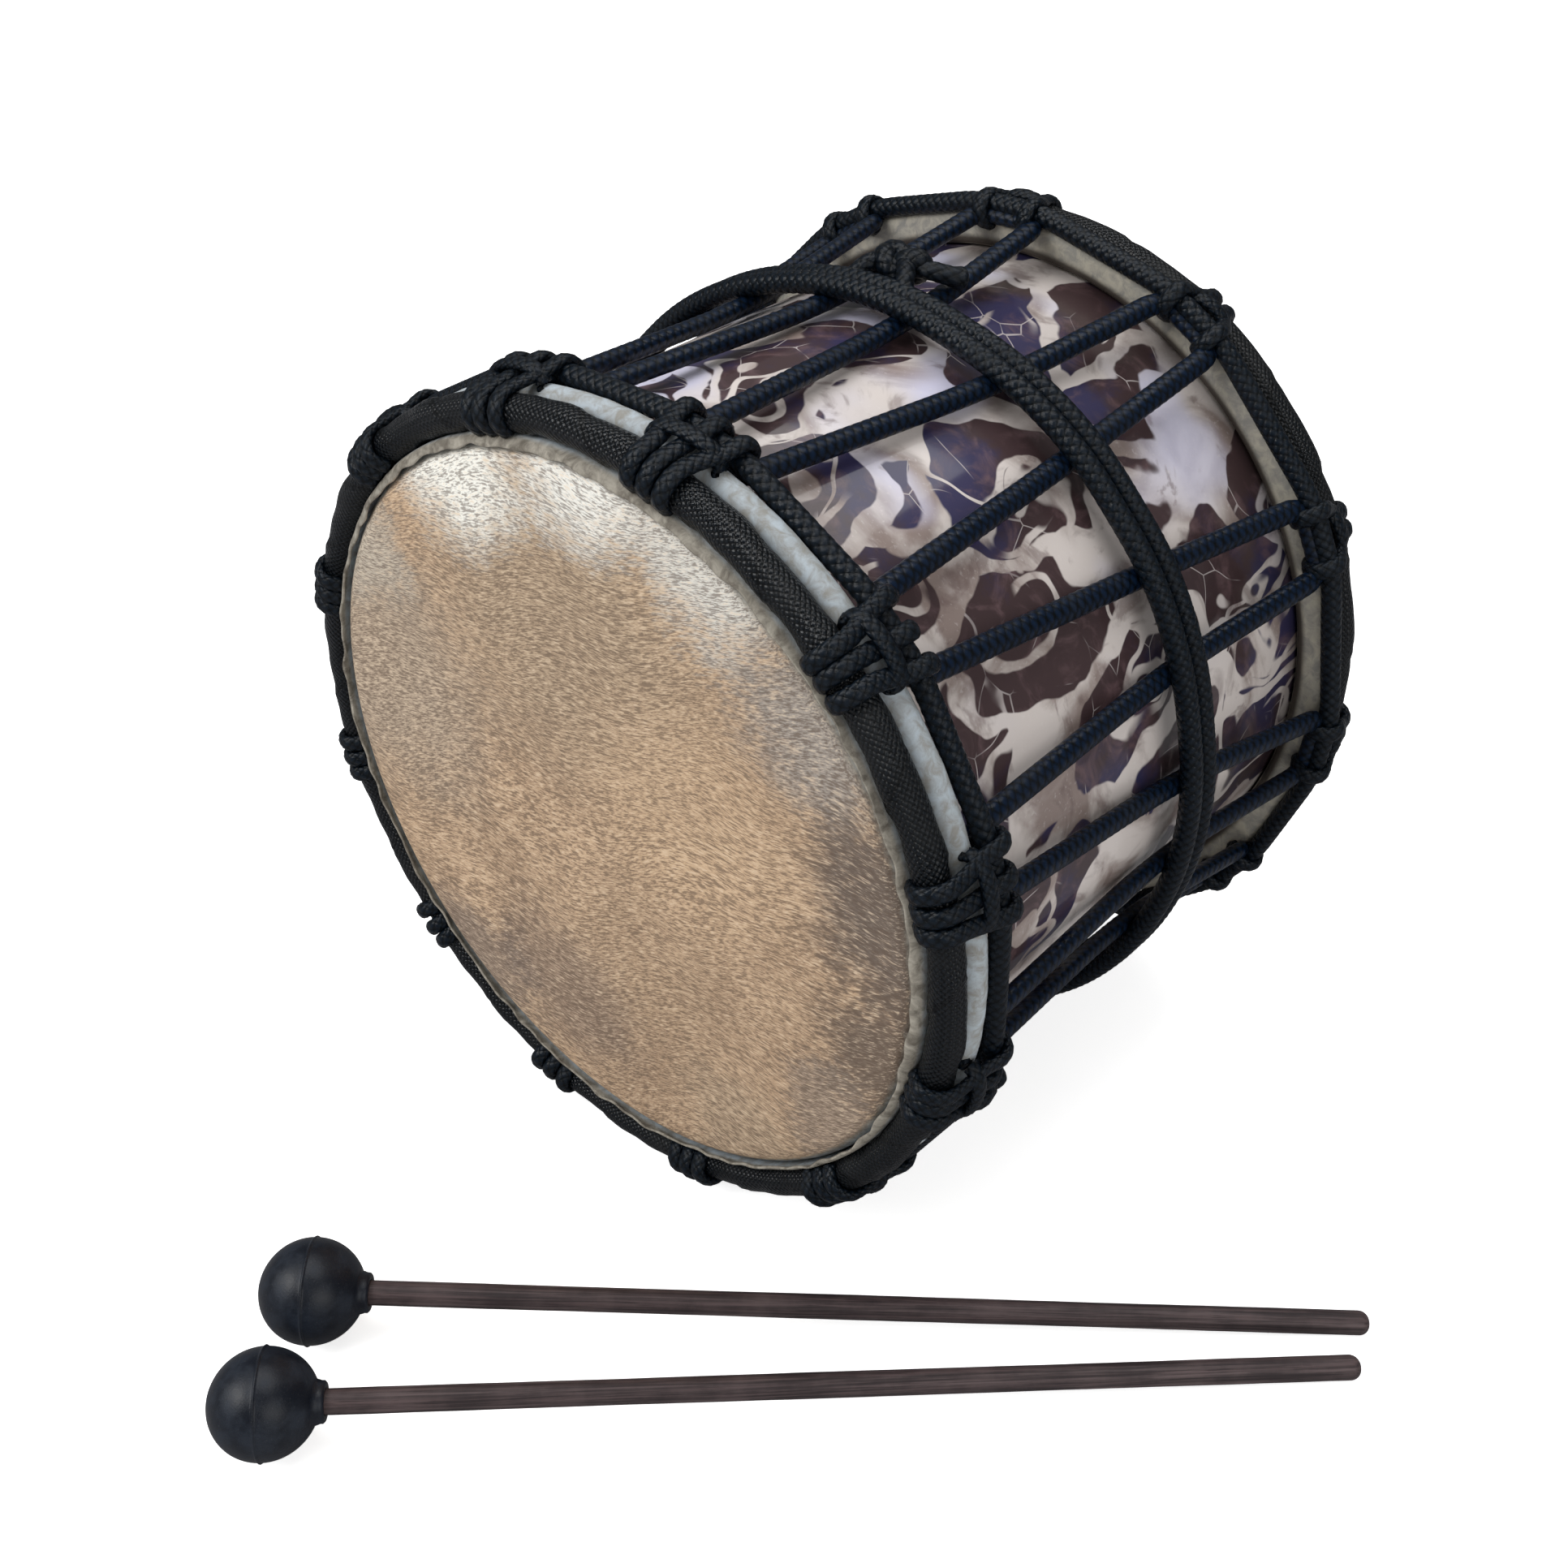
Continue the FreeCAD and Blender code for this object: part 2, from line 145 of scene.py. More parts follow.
def vectorMath(operation, first, second=None, scale=None):
    node = newNode(treeOf(first), "VectorMath", {"operation": operation})
    feed(node.inputs[0], first)
    feed(node.inputs[1], second)
    feed(node.inputs[3], scale)
    return node.outputs["Value" if operation in ("LENGTH", "DISTANCE") else "Vector"]


def newGroup(name, inputs, outputs):
    group = bpy.data.node_groups.new(name, "ShaderNodeTree")
    for label, kind, value in inputs:
        socket = group.interface.new_socket(label, in_out="INPUT", socket_type="NodeSocket" + kind)
        if value is not None:
            socket.default_value = value
    for label in outputs:
        group.interface.new_socket(label, in_out="OUTPUT", socket_type="NodeSocketFloat")
    return group, group.nodes.new("NodeGroupInput").outputs, group.nodes.new("NodeGroupOutput").inputs


# Plaits of a braid on a rope's own UV map: U goes once round, one unit of V is one plait.
def braidGroup():
    group, given, out = newGroup("braid", [("Vector", "Vector", None), ("Around", "Float", 5)],
                                 ["Height"])
    split = addNode("SeparateXYZ", Vector=given["Vector"])
    around = times(split.outputs[0], given["Around"])
    crests = []
    for sign in (1, -1):
        lean = timesPlus(split.outputs[1], float(sign), around)
        crests.append(maths("COSINE", times(lean, math.pi)))
    over = timesPlus(times(*crests), 0.5, 0.5)
    first, second = (maths("ABSOLUTE", crest) for crest in crests)
    shown = times(maths("SUBTRACT", first, second), over)
    feed(out["Height"], maths("ADD", shown, second))
    return group


# Fine threads, hairs or grain: noise drawn out along X.
def streakGroup():
    group, given, out = newGroup(
        "streaks",
        [("Vector", "Vector", None), ("Length", "Float", 4), ("Width", "Float", 0.6), ("Sway", "Float", 0)],
        ["Value"],
    )
    per = [maths("DIVIDE", 1.0, given[key]) for key in ("Length", "Width")]
    scale = addNode("CombineXYZ", X=per[0], Y=per[1], Z=per[1])
    swing = noise(given["Vector"], 0.011, 1)
    swing = times(maths("SUBTRACT", swing, 0.5), given["Sway"])
    moved = vectorMath("ADD", given["Vector"], addNode("CombineXYZ", Z=swing).outputs[0])
    feed(out["Value"], noise(vectorMath("MULTIPLY", moved, scale.outputs[0]), 1.0, 2, 0.6))
    return group


# Slow uneven colour: the handling, dust and fading that no surface is without.
def mottleGroup():
    group, given, out = newGroup(
        "mottle", [("Vector", "Vector", None), ("Size", "Float", 30), ("Contrast", "Float", 1)], ["Value"]
    )
    value = noise(given["Vector"], maths("DIVIDE", 1.0, given["Size"]), 6, 0.6)
    centred = times(maths("SUBTRACT", value, 0.5), given["Contrast"])
    feed(out["Value"], maths("ADD", centred, 0.5))
    return group


braid, streaks, mottle = braidGroup(), streakGroup(), mottleGroup()


def useGroup(group, vector, **inputs):
    return addNode("Group", {"node_tree": group}, Vector=vector, **inputs).outputs[0]


# A material with its shader, and the drum's own coordinates in millimetres.
def newMaterial(name, turn=(0, 0, 0), centre=headCentre, **plain):
    material = bpy.data.materials.new(name)
    material.use_nodes = True
    shader = material.node_tree.nodes["Principled BSDF"]
    for key, value in plain.items():
        shader.inputs[key.replace("_", " ")].default_value = value
    coords = newNode(material.node_tree, "TexCoord")
    centred = vectorMath("SUBTRACT", coords.outputs["Object"], tuple(centre))
    inMm = vectorMath("SCALE", centred, scale=1 / mm)
    turned = addNode("Mapping", {"vector_type": "POINT"}, Vector=inMm, Rotation=turn)
    return material, shader, turned.outputs[0], coords.outputs["UV"]


def bump(shader, height, distance, strength=1.0):
    node = addNode("Bump", Height=height, Distance=distance * mm, Strength=strength)
    feed(shader.inputs["Normal"], node.outputs[0])


def surface(shader, colour, roughness=None):
    feed(shader.inputs["Base Color"], colour)
    feed(shader.inputs["Roughness"], roughness)


ropeLook = {
    # the first colour is painted shade for the hollows between the plaits
    "plaitHollowShade": (0.001, 0.002, 0.003),
    "crest": (0.004, 0.008, 0.014),
    "laceCrest": (0.003, 0.010, 0.027),
    "knotCrest": (0.003, 0.006, 0.011),
    "dusty": (0.014, 0.019, 0.026),
}


def ropeMaterial(name, crest, around=5, relief=0.35):
    material, shader, place, uv = newMaterial(name, Roughness=0.36, Specular_IOR_Level=0.2)
    plait = useGroup(braid, uv, Around=around)
    yarn = useGroup(streaks, place, Length=1.6, Width=0.35)
    patches = useGroup(mottle, place, Size=22, Contrast=2.2)
    height = timesPlus(yarn, 0.35, plait)
    # the braid is painted darker down in its hollows than on its crests: painted shade
    colour = mix(fade(height, 0.35, 1.25), ropeLook["plaitHollowShade"], crest)
    worn = times(fade(patches, 0.62, 1.0), fade(plait, 0.5, 1.0))
    colour = mix(times(worn, 0.6), colour, ropeLook["dusty"])
    surface(shader, colour, fade(patches, 0.2, 0.9, 0.28, 0.52))
    bump(shader, height, relief)
    return material


tapeLook = {
    "thread": (0.004, 0.006, 0.0085),
    # the gap colour is painted shade, between the threads and at each lap's step
    "gap": (0.001, 0.0015, 0.002),
    "dust": (0.018, 0.019, 0.020),
    "turns": 26,       # turns of tape round the hoop
    "rows": 400,       # woven rows along the hoop
    "threads": 17,     # threads across the tape
    "edge": 0.09,      # how much of a lap the painted shade at its step takes
}


def tapeMaterial():
    look = tapeLook
    material, shader, place, uv = newMaterial("hoopTape", Roughness=0.3, Specular_IOR_Level=0.28)
    split = addNode("SeparateXYZ", Vector=uv)
    rows = times(split.outputs[0], float(look["rows"]))
    cloth = addNode("CombineXYZ", X=split.outputs[1], Y=rows)
    thread = useGroup(braid, cloth.outputs[0], Around=look["threads"])
    patches = useGroup(mottle, place, Size=30, Contrast=2.4)
    lap = maths("FRACT", timesPlus(split.outputs[0], float(look["turns"]),
                                     split.outputs[1]))
    edge = fade(lap, 0.0, look["edge"])
    # the gaps between the threads are painted darker: painted shade
    colour = mix(fade(thread, 0.35, 0.95), look["gap"], look["thread"])
    colour = mix(times(fade(patches, 0.5, 1.1), 0.35), colour,
                       look["dust"])
    # each lap's step is painted in the gap colour: painted shade
    colour = mix(edge, look["gap"], colour)
    surface(shader, colour, fade(patches, 0.2, 0.9, 0.22, 0.45))
    bump(shader, timesPlus(lap, -1.6, thread), 0.4)
    return material


# Goat hide with its short hair on. Each spot is an angle and a distance from the middle in
# head radii, its size, its colour and how strongly it shows.
hideLook = {
    "radius": 128.0,
    "hair": (0.50, 0.352, 0.228),
    "underHair": (0.38, 0.262, 0.168),
    "darkHair": (0.115, 0.080, 0.058),
    "paleHair": (0.70, 0.56, 0.41),
    "frontSpots": [
        (98, 0.60, 0.50, (0.36, 0.27, 0.185), 0.8), (170, 0.85, 0.45, (0.35, 0.285, 0.22), 0.75),
        (116, 1.04, 0.29, (0.80, 0.79, 0.73), 1.0), (88, 1.03, 0.25, (0.76, 0.75, 0.70), 1.0),
        (66, 1.0, 0.25, (0.62, 0.60, 0.55), 1.0),
        (42, 1.0, 0.27, (0.30, 0.27, 0.24), 0.95), (12, 1.0, 0.30, (0.13, 0.105, 0.09), 0.95),
        (-12, 1.02, 0.26, (0.13, 0.10, 0.08), 0.9), (-105, 0.66, 0.28, (0.20, 0.15, 0.12), 0.6),
        (-125, 0.98, 0.26, (0.20, 0.16, 0.135), 0.7), (150, 1.0, 0.2, (0.46, 0.41, 0.34), 0.8),
        (-58, 0.90, 0.22, (0.42, 0.32, 0.22), 0.6), (-32, 0.96, 0.18, (0.26, 0.21, 0.17), 0.7),
        (30, 0.35, 0.35, (0.56, 0.395, 0.25), 0.5), (-70, 0.35, 0.3, (0.44, 0.31, 0.20), 0.4),
    ],
    "backSpots": [
        (80, 0.5, 0.5, (0.38, 0.31, 0.23), 0.8), (200, 0.7, 0.5, (0.26, 0.19, 0.14), 0.7),
        (120, 1.0, 0.35, (0.60, 0.57, 0.50), 1.0), (30, 1.0, 0.30, (0.50, 0.46, 0.40), 1.0),
        (-60, 0.9, 0.3, (0.20, 0.155, 0.13), 0.7), (-100, 0.4, 0.35, (0.46, 0.33, 0.21), 0.6),
    ],
    # bare skin: the played head's bluish tint is painted sky light, the rear head's warmer tone is painted
    # shade
    "frontSkinSkyTint": (0.38, 0.43, 0.47), "backSkinShadeTint": (0.42, 0.39, 0.32),
    # the second colour here is painted shadow for the hollow behind the roll
    "skinShade": (0.24, 0.235, 0.215), "rollShadow": (0.06, 0.05, 0.042),
    # the cut edge's colours are darker copies of the bare skin: painted shade
    "edgeShade": (0.12, 0.105, 0.085), "edge": (0.34, 0.315, 0.265),
    "spotRim": (1.25, 0.45),          # where a spot starts and is full, in its own sizes
    "tuftShift": 34.0, "slowShift": 30.0,
    "trimmed": (3.0, 0.5),            # millimetres from the head where the cut edge, painted darker as shade, starts and is full
    "hollow": (1.8, 3.6),             # the painted shadow in the hollow behind the roll, behind the roll's middle
    "hollowRadius": (134.2, 131.6),
    "shaved": (127.4, 129.4),         # radius where the hair stops
}


def hideMaterial(name, spots, back):
    look = hideLook
    material, shader, place, _ = newMaterial(name, Roughness=0.8, Specular_IOR_Level=0.15)
    grown = addNode("Mapping", {"vector_type": "POINT"}, Vector=place,
                    Rotation=(0, math.radians(-24 if back else 14), 0)).outputs[0]
    hair = useGroup(streaks, grown, Length=2.6, Width=0.42, Sway=46)
    tuft = useGroup(streaks, grown, Length=4.4, Width=1.1, Sway=46)
    slow = useGroup(mottle, place, Size=38, Contrast=1.6)
    colour = mix(fade(slow, 0.25, 0.8), look["underHair"], look["hair"])
    for angle, out, wide, tone, share in spots:
        at = tuple(onDrum(look["radius"] * out, angle, 0.0))
        flat = vectorMath("MULTIPLY", place, (1, 0, 1))
        away = vectorMath("DISTANCE", flat, at)
        ragged = away
        for shift, kind in ((look["tuftShift"], tuft), (look["slowShift"], slow)):
            ragged = timesPlus(maths("SUBTRACT", kind, 0.5), shift, ragged)
        rim = [look["radius"] * wide * part for part in look["spotRim"]]
        colour = mix(fade(ragged, *rim, 0.0, share), colour, tone)
    depth = timesPlus(tuft, 0.6, hair)
    dark = fade(depth, 0.87, 0.66)
    colour = mix(times(dark, 0.68), colour, look["darkHair"])
    light = fade(depth, 0.84, 1.04)
    colour = mix(times(light, 0.5), colour, look["paleHair"])
    # past the shell's rim the hide was shaved: bare cream skin with fine creases, painted darker down in the
    # creases as shade
    radius = vectorMath("LENGTH", vectorMath("MULTIPLY", place, (1, 0, 1)))
    crease = noise(place, 0.22, 6, 0.65, 0.6)
    # the played head's bare skin is tinted bluish as painted sky light, the rear head's warmer as painted
    # shade
    bare = mix(fade(crease, 0.3, 0.7), look["skinShade"],
                    look["backSkinShadeTint" if back else "frontSkinSkyTint"])
    depthIn = addNode("SeparateXYZ", Vector=place).outputs[1]
    # the cut edge leaning in between the head and the hoop is painted darker, darker still in its creases:
    # painted shade
    edge = [endY(deep, back) for deep in look["trimmed"]]
    trimmed = mix(fade(crease, 0.3, 0.7), look["edgeShade"], look["edge"])
    bare = mix(fade(depthIn, *edge), bare, trimmed)
    # a painted shadow darkens the skin in the hollow behind the roll
    hollow = fade(depthIn, *(endY(drum["fleshY"] + deep, back) for deep in look["hollow"]))
    hollow = times(hollow, fade(radius, *look["hollowRadius"]))
    bare = mix(hollow, bare, look["rollShadow"])
    shaved = fade(timesPlus(crease, 3.0, radius), *look["shaved"])
    colour = mix(shaved, colour, bare)
    surface(shader, colour, timesPlus(shaved, -0.22, 0.84))
    bump(shader, mix(shaved, depth, crease), 0.4, 0.7)
    return material


# Glossy printed wrap: dark rounded stones with broken pale rings over a marbled ground.
wrapLook = {
    "stoneSize": 44.0,
    # in stone sizes: a stone's edge, ring and pale heart, then half the gap to the next stone
    "stone": 0.66, "ring": (0.28, 0.35), "heart": 0.13, "gap": 0.075,
    "soft": 0.009,             # how soft those edges are, and how far they wobble
    "wobble": 0.11, "gapWobble": 0.14,
    "flat": (1.0, 0.72, 1.0),  # stones are drawn out along the drum, then bent
    "bend": 60.0,
    "crackSize": 21, "crackBend": 30.0, "crack": (0.013, 0.005),
    "skyReflectionHeights": (30, 115),  # the painted sky reflection fades in on the ground from here to here above the axis
    "ground": (0.60, 0.545, 0.515),
    "groundShade": (0.25, 0.195, 0.175),
    # a lilac painted reflection of the sky on the shell's top
    "skyReflection": (0.56, 0.555, 0.70),
    "vein": (0.13, 0.085, 0.08),
    "speckle": (0.68, 0.64, 0.62),
    "brown": (0.052, 0.031, 0.033),
    "violet": (0.034, 0.030, 0.078),
    "haze": (0.15, 0.092, 0.098),
    "line": (0.50, 0.45, 0.44),
}


# 1 between two values of a smooth field, 0 outside, with an edge this soft.
def between(value, low, high, soft):
    return times(fade(value, low - soft, low + soft),
                 fade(value, high + soft, high - soft))


def wrapMaterial():
    look, soft = wrapLook, wrapLook["soft"]
    material, shader, place, _ = newMaterial(
        "lacqueredWrap", Roughness=0.4, Coat_Weight=0.6, Coat_Roughness=0.08, Specular_IOR_Level=0.15)
    drawn = vectorMath("MULTIPLY", place, look["flat"])
    bends = addNode("TexNoise", Vector=place, Scale=0.021, Detail=1.5)
    push = vectorMath("SUBTRACT", bends.outputs["Color"], (0.5, 0.5, 0.5))
    warped = vectorMath("ADD", drawn, vectorMath("SCALE", push, scale=look["bend"]))
    cells = addNode("TexVoronoi", {"feature": "SMOOTH_F1"}, Vector=warped,
                    Scale=1 / look["stoneSize"], Smoothness=0.25).outputs
    chance = addNode("SeparateColor", Color=cells["Color"]).outputs
    wobble = maths("SUBTRACT", noise(place, 0.07, 2), 0.5)
    stone = timesPlus(wobble, look["wobble"], cells["Distance"])
    inside = fade(stone, look["stone"] + soft, look["stone"] - soft)
    border = addNode("TexVoronoi", {"feature": "DISTANCE_TO_EDGE"}, Vector=warped,
                     Scale=1 / look["stoneSize"]).outputs["Distance"]
    border = timesPlus(wobble, look["gapWobble"], border)
    border = fade(border, look["gap"] - soft, look["gap"] + soft)
    inside = times(inside, border)
    broken = fade(noise(warped, 0.034, 2), 0.42, 0.50)
    ring = times(between(stone, *look["ring"], soft), broken)
    heart = times(fade(stone, look["heart"] + soft, look["heart"] - soft),
                  fade(chance[0], 0.40, 0.45))
    channel = between(noise(warped, 0.024, 1), 0.480, 0.508, 0.004)
    pale = maths("MAXIMUM", maths("MAXIMUM", ring, heart), channel)
    dark = times(inside, maths("SUBTRACT", 1.0, pale))
    bent = vectorMath("ADD", place, vectorMath("SCALE", push, scale=look["crackBend"]))
    cracks = addNode("TexVoronoi", {"feature": "DISTANCE_TO_EDGE"}, Scale=1 / look["crackSize"],
                     Vector=bent)
    line = fade(cracks.outputs["Distance"], *look["crack"])
    line = times(line, fade(noise(place, 0.045, 2), 0.47, 0.58))
    # marbled ground
    marble = noise(place, 0.024, 5, 0.52, 1.2)
    veins = fade(noise(place, 0.03, 4, 0.55, 2.4), 0.54, 0.68)
    # a patchy lilac painted reflection of the sky, on the top of the shell only
    skyReflectionMask = fade(noise(place, 0.017, 2), 0.48, 0.62)
    height = addNode("SeparateXYZ", Vector=place).outputs[2]
    skyReflectionMask = times(skyReflectionMask, fade(height, *look["skyReflectionHeights"]))
    ground = mix(fade(marble, 0.34, 0.56), look["groundShade"], look["ground"])
    speckle = fade(noise(place, 0.7, 3), 0.58, 0.74)
    for mask, share, tone in ((skyReflectionMask, 0.85, "skyReflection"), (veins, 0.55, "vein"), (speckle, 0.25, "speckle")):
        ground = mix(times(mask, share), ground, look[tone])
    tone = useGroup(mottle, place, Size=70, Contrast=3.2)
    body = mix(fade(tone, 0.35, 0.75), look["brown"], look["violet"])
    haze = fade(noise(place, 0.07, 5, 0.6, 1.0), 0.48, 0.74)
    body = mix(times(haze, 0.7), body, look["haze"])
    body = mix(times(line, 0.75), body, look["line"])
    surface(shader, mix(dark, ground, body))
    bump(shader, noise(place, 0.05, 3), 0.5, 0.35)   # the lacquer isn't quite level
    return material


woodLook = {"early": (0.30, 0.19, 0.11), "late": (0.16, 0.09, 0.05)}
stickLook = {"early": (0.085, 0.060, 0.060), "late": (0.024, 0.017, 0.018)}


def woodMaterial(name, look, roughness, **turned):
    material, shader, place, _ = newMaterial(name, Roughness=roughness, **turned)
    grain = useGroup(streaks, place, Length=60, Width=0.9, Sway=2)
    pores = useGroup(streaks, place, Length=14, Width=0.35)
    patches = useGroup(mottle, place, Size=26, Contrast=1.6)
    tone = timesPlus(patches, 0.35, times(grain, 0.75))
    colour = mix(fade(tone, 0.38, 0.74), look["late"], look["early"])
    colour = mix(fade(pores, 0.42, 0.32, 0.0, 0.7), colour, look["late"])
    surface(shader, colour, fade(grain, 0.3, 0.7, roughness + 0.12, roughness - 0.06))
    bump(shader, pores, 0.12)
    return material


steelLook = {"bare": (0.30, 0.30, 0.31), "rust": (0.16, 0.07, 0.035)}


def steelMaterial():
    material, shader, place, _ = newMaterial("hoopSteel", Metallic=0.9, Roughness=0.45)
    rust = useGroup(mottle, place, Size=18, Contrast=2.0)
    colour = mix(fade(rust, 0.5, 0.9), steelLook["bare"], steelLook["rust"])
    surface(shader, colour, fade(rust, 0.4, 0.9, 0.38, 0.8))
    return material


rubberLook = {"dark": (0.004, 0.006, 0.011), "worn": (0.013, 0.018, 0.028), "dust": (0.05, 0.052, 0.056)}


def rubberMaterial(name, centre):
    look = rubberLook
    material, shader, place, _ = newMaterial(name, centre=centre, Specular_IOR_Level=0.3)
    patches = useGroup(mottle, place, Size=9, Contrast=1.8)
    grit = noise(place, 1.5, 3, 0.6)
    colour = mix(fade(patches, 0.3, 0.85), look["dark"], look["worn"])
    dust = times(fade(grit, 0.64, 0.74), 0.5)
    colour = mix(dust, colour, look["dust"])
    surface(shader, colour, fade(patches, 0.2, 0.9, 0.34, 0.55))
    bump(shader, grit, 0.06)
    return material


legRope = ropeMaterial("laceRope", ropeLook["laceCrest"], 4, 0.16)
hoopRope = ropeMaterial("hoopRope", ropeLook["crest"])
knotRope = ropeMaterial("knotRope", ropeLook["knotCrest"])
print("materials made")


def onlyActive(piece):
    bpy.ops.object.select_all(action="DESELECT")
    piece.select_set(True)
    bpy.context.view_layer.objects.active = piece


def applyPlace():
    bpy.ops.object.transform_apply(location=True, rotation=True, scale=True)
    return bpy.context.object


def finishPiece(piece, name, body, slot, material, *nodes):
    onlyActive(piece)
    applyPlace()
    piece.name = piece.data.name = name
    piece.data.materials.clear()
    piece.data.materials.append(material)
    bpy.ops.object.shade_smooth()
    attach(piece, body)
    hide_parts(*nodes)
    print(f"{name}: {len(piece.data.polygons)} faces")


def thicken(piece, thickness):
    wall = piece.modifiers.new("wall", "SOLIDIFY")
    wall.thickness = thickness * mm
    wall.offset = -1
    bpy.ops.object.modifier_apply(modifier=wall.name)


def newObject(name, data):
    piece = bpy.data.objects.new(name, data)
    bpy.context.scene.collection.objects.link(piece)
    return piece


def points(piece):
    found = np.empty(len(piece.data.vertices) * 3)
    piece.data.vertices.foreach_get("co", found)
    return found.reshape(-1, 3)


def setPoints(piece, moved):
    piece.data.vertices.foreach_set("co", np.asarray(moved, np.float32).ravel())
    piece.data.update()


# A turned piece: a circle is drawn at the first radius, closed, and extruded ring by ring.
# The outline lists (radius, distance along the axis) in millimetres from centre.
def turnedPiece(outline, segments, centre, axis):
    facing = Vector(axis).to_track_quat("Z", "Y")
    radius, along = outline[0]
    place = Vector(centre) + Vector(axis) * along * mm
    bpy.ops.mesh.primitive_circle_add(vertices=segments, radius=radius * mm, fill_type="TRIFAN",
                                      location=place, rotation=facing.to_euler())
    piece = applyPlace()
    bpy.ops.object.mode_set(mode="EDIT")
    bpy.ops.mesh.select_all(action="SELECT")
    bpy.ops.mesh.region_to_loop()
    for nextRadius, nextAlong in outline[1:]:
        step = Vector(axis) * (nextAlong - along) * mm
        bpy.ops.mesh.extrude_edges_move(TRANSFORM_OT_translate={"value": step})
        place += step
        bpy.ops.transform.resize(value=(nextRadius / radius,) * 3, center_override=place)
        radius, along = nextRadius, nextAlong
    bpy.ops.object.mode_set(mode="OBJECT")
    return piece


def closeAndTurnOut(piece):
    onlyActive(piece)
    bpy.ops.object.mode_set(mode="EDIT")
    bpy.ops.mesh.select_all(action="SELECT")
    bpy.ops.mesh.remove_doubles(threshold=0.00001)
    bpy.ops.mesh.normals_make_consistent(inside=False)
    bpy.ops.object.mode_set(mode="OBJECT")


def arc(centreRadius, centreAlong, size, first, last, count):
    for turn in np.radians(np.linspace(first, last, count)):
        yield centreRadius + size * math.cos(turn), centreAlong + size * math.sin(turn)


# A few waves of unrelated lengths, about 1 high, that meet again after a full turn.
def ripple(angle, waves):
    total = 0
    for wave in waves:
        total = total + np.sin(wave * angle + draws.uniform(0, math.tau)) * draws.uniform(0.5, 1)
    return total / len(waves) * 1.6


headLook = {
    "thickness": 0.8,
    "segments": 360,
    "flatRadius": 122.3, "rimRound": 6.6,
    "sweep": 4.0,
    "roll": 4.75,
    "collarRadius": 131.4,
    "sag": 0.35,         # how uneven the flat is, then how much its rim swells, where and how widely
    "swell": 0.16, "swellRadius": 116, "swellWidth": 6,
    "creases": 0.28,     # how deep the roll is creased, and how far from its middle
    "creaseWidth": 5.0,
    "lean": 3.4,         # how far the trimmed edge leans in over the rim
    "ruffle": 0.9,
}


def makeHead(end, back, spots):
    look = headLook
    outline = [(radius, 0.0) for radius in (4, 20, 38, 56, 74, 90, 104, 114, look["flatRadius"])]
    outline += list(arc(look["flatRadius"], look["rimRound"], look["rimRound"], -90, 0, 9))[1:]
    wall, under = outline[-1][0], drum["fleshY"] + look["roll"]
    outline += [(wall, under - look["sweep"])]
    outline += list(arc(wall + look["sweep"], under - look["sweep"], look["sweep"], 180, 90, 5))[1:]
    outline += list(arc(drum["fleshRadius"], drum["fleshY"], look["roll"], 90, -90, 14))
    over = drum["fleshY"] - look["roll"]
    collar = look["collarRadius"]
    outline += [(collar + 2.0, over), (collar + 0.6, over - 0.5), (collar, over - 1.6), (collar, 6.0)]
    ribbon = [(collar, 3.6), (collar - 0.2, 1.8), (collar - 0.9, 0.3), (collar - 2.1, -0.7),
              (collar - 2.8, -1.0), (collar - look["lean"], -1.15)]
    outline += ribbon
    outline = [(radius, endY(along, back) - endY(0, back)) for radius, along in outline]
    face = headCentre + Vector((0, endY(0, back) * mm, 0))
    piece = turnedPiece(outline, look["segments"], face, (0, 1, 0))
    closeAndTurnOut(piece)
    # skin isn't turned metal: the flat sags a little, the roll is creased, the cut edge waves
    here = points(piece)
    apart = (here - np.array(face)) / mm
    depth = -apart[:, 1] if back else apart[:, 1]
    radius = np.hypot(apart[:, 0], apart[:, 2])
    angle = np.arctan2(apart[:, 2], apart[:, 0])
    outward = np.stack([np.cos(angle), 0 * angle, np.sin(angle)], -1)
    inward = np.array([0, -1 if back else 1, 0])
    flat = np.clip(1 - radius / look["flatRadius"], 0, 1)
    swell = look["swell"] * np.exp(-((radius - look["swellRadius"]) / look["swellWidth"]) ** 2)
    slack = ripple(angle, (2, 3, 5)) * look["sag"] * np.sin(np.pi * flat)
    slack = slack + ripple(angle, (7, 11, 16)) * swell
    creased = np.exp(-((depth - drum["fleshY"]) / look["creaseWidth"]) ** 2)
    creased = creased * (radius > drum["fleshRadius"] - 3)
    dents = (ripple(angle, (31, 47, 66, 97)) - 0.3) * look["creases"]
    edge = np.clip((2.4 - depth) / 3.4, 0, 1) * (radius > look["flatRadius"] + 3.2) * (radius < collar + 0.3)
    edge = edge * (depth < 3.7) * ((depth < -0.3) | (radius > 130.2))
    wide = 0.7 + 0.5 * ripple(angle, (1, 2, 3, 5)) + 0.22 * ripple(angle, (23, 37, 58))
    wave = look["ruffle"] * ripple(angle, (13, 19, 29, 41, 73))
    moved = apart + inward * slack[:, None] + outward * (creased * dents)[:, None]
    lean = (collar - radius) * (wide - 1) * edge
    moved -= outward * lean[:, None]
    moved -= inward * (edge * np.clip(wave, -0.5, 1.2))[:, None]
    setPoints(piece, moved * mm + np.array(face))
    onlyActive(piece)
    thicken(piece, look["thickness"])
    hide = hideMaterial(f"{end}Hide", spots, back)
    finishPiece(piece, f"{end}_hide", "drum", "drum_skin", hide, f"{end}_head")


crownLook = {"radius": 5.2, "lap": 0.8, "segments": 576, "around": 26, "lumps": 0.34}


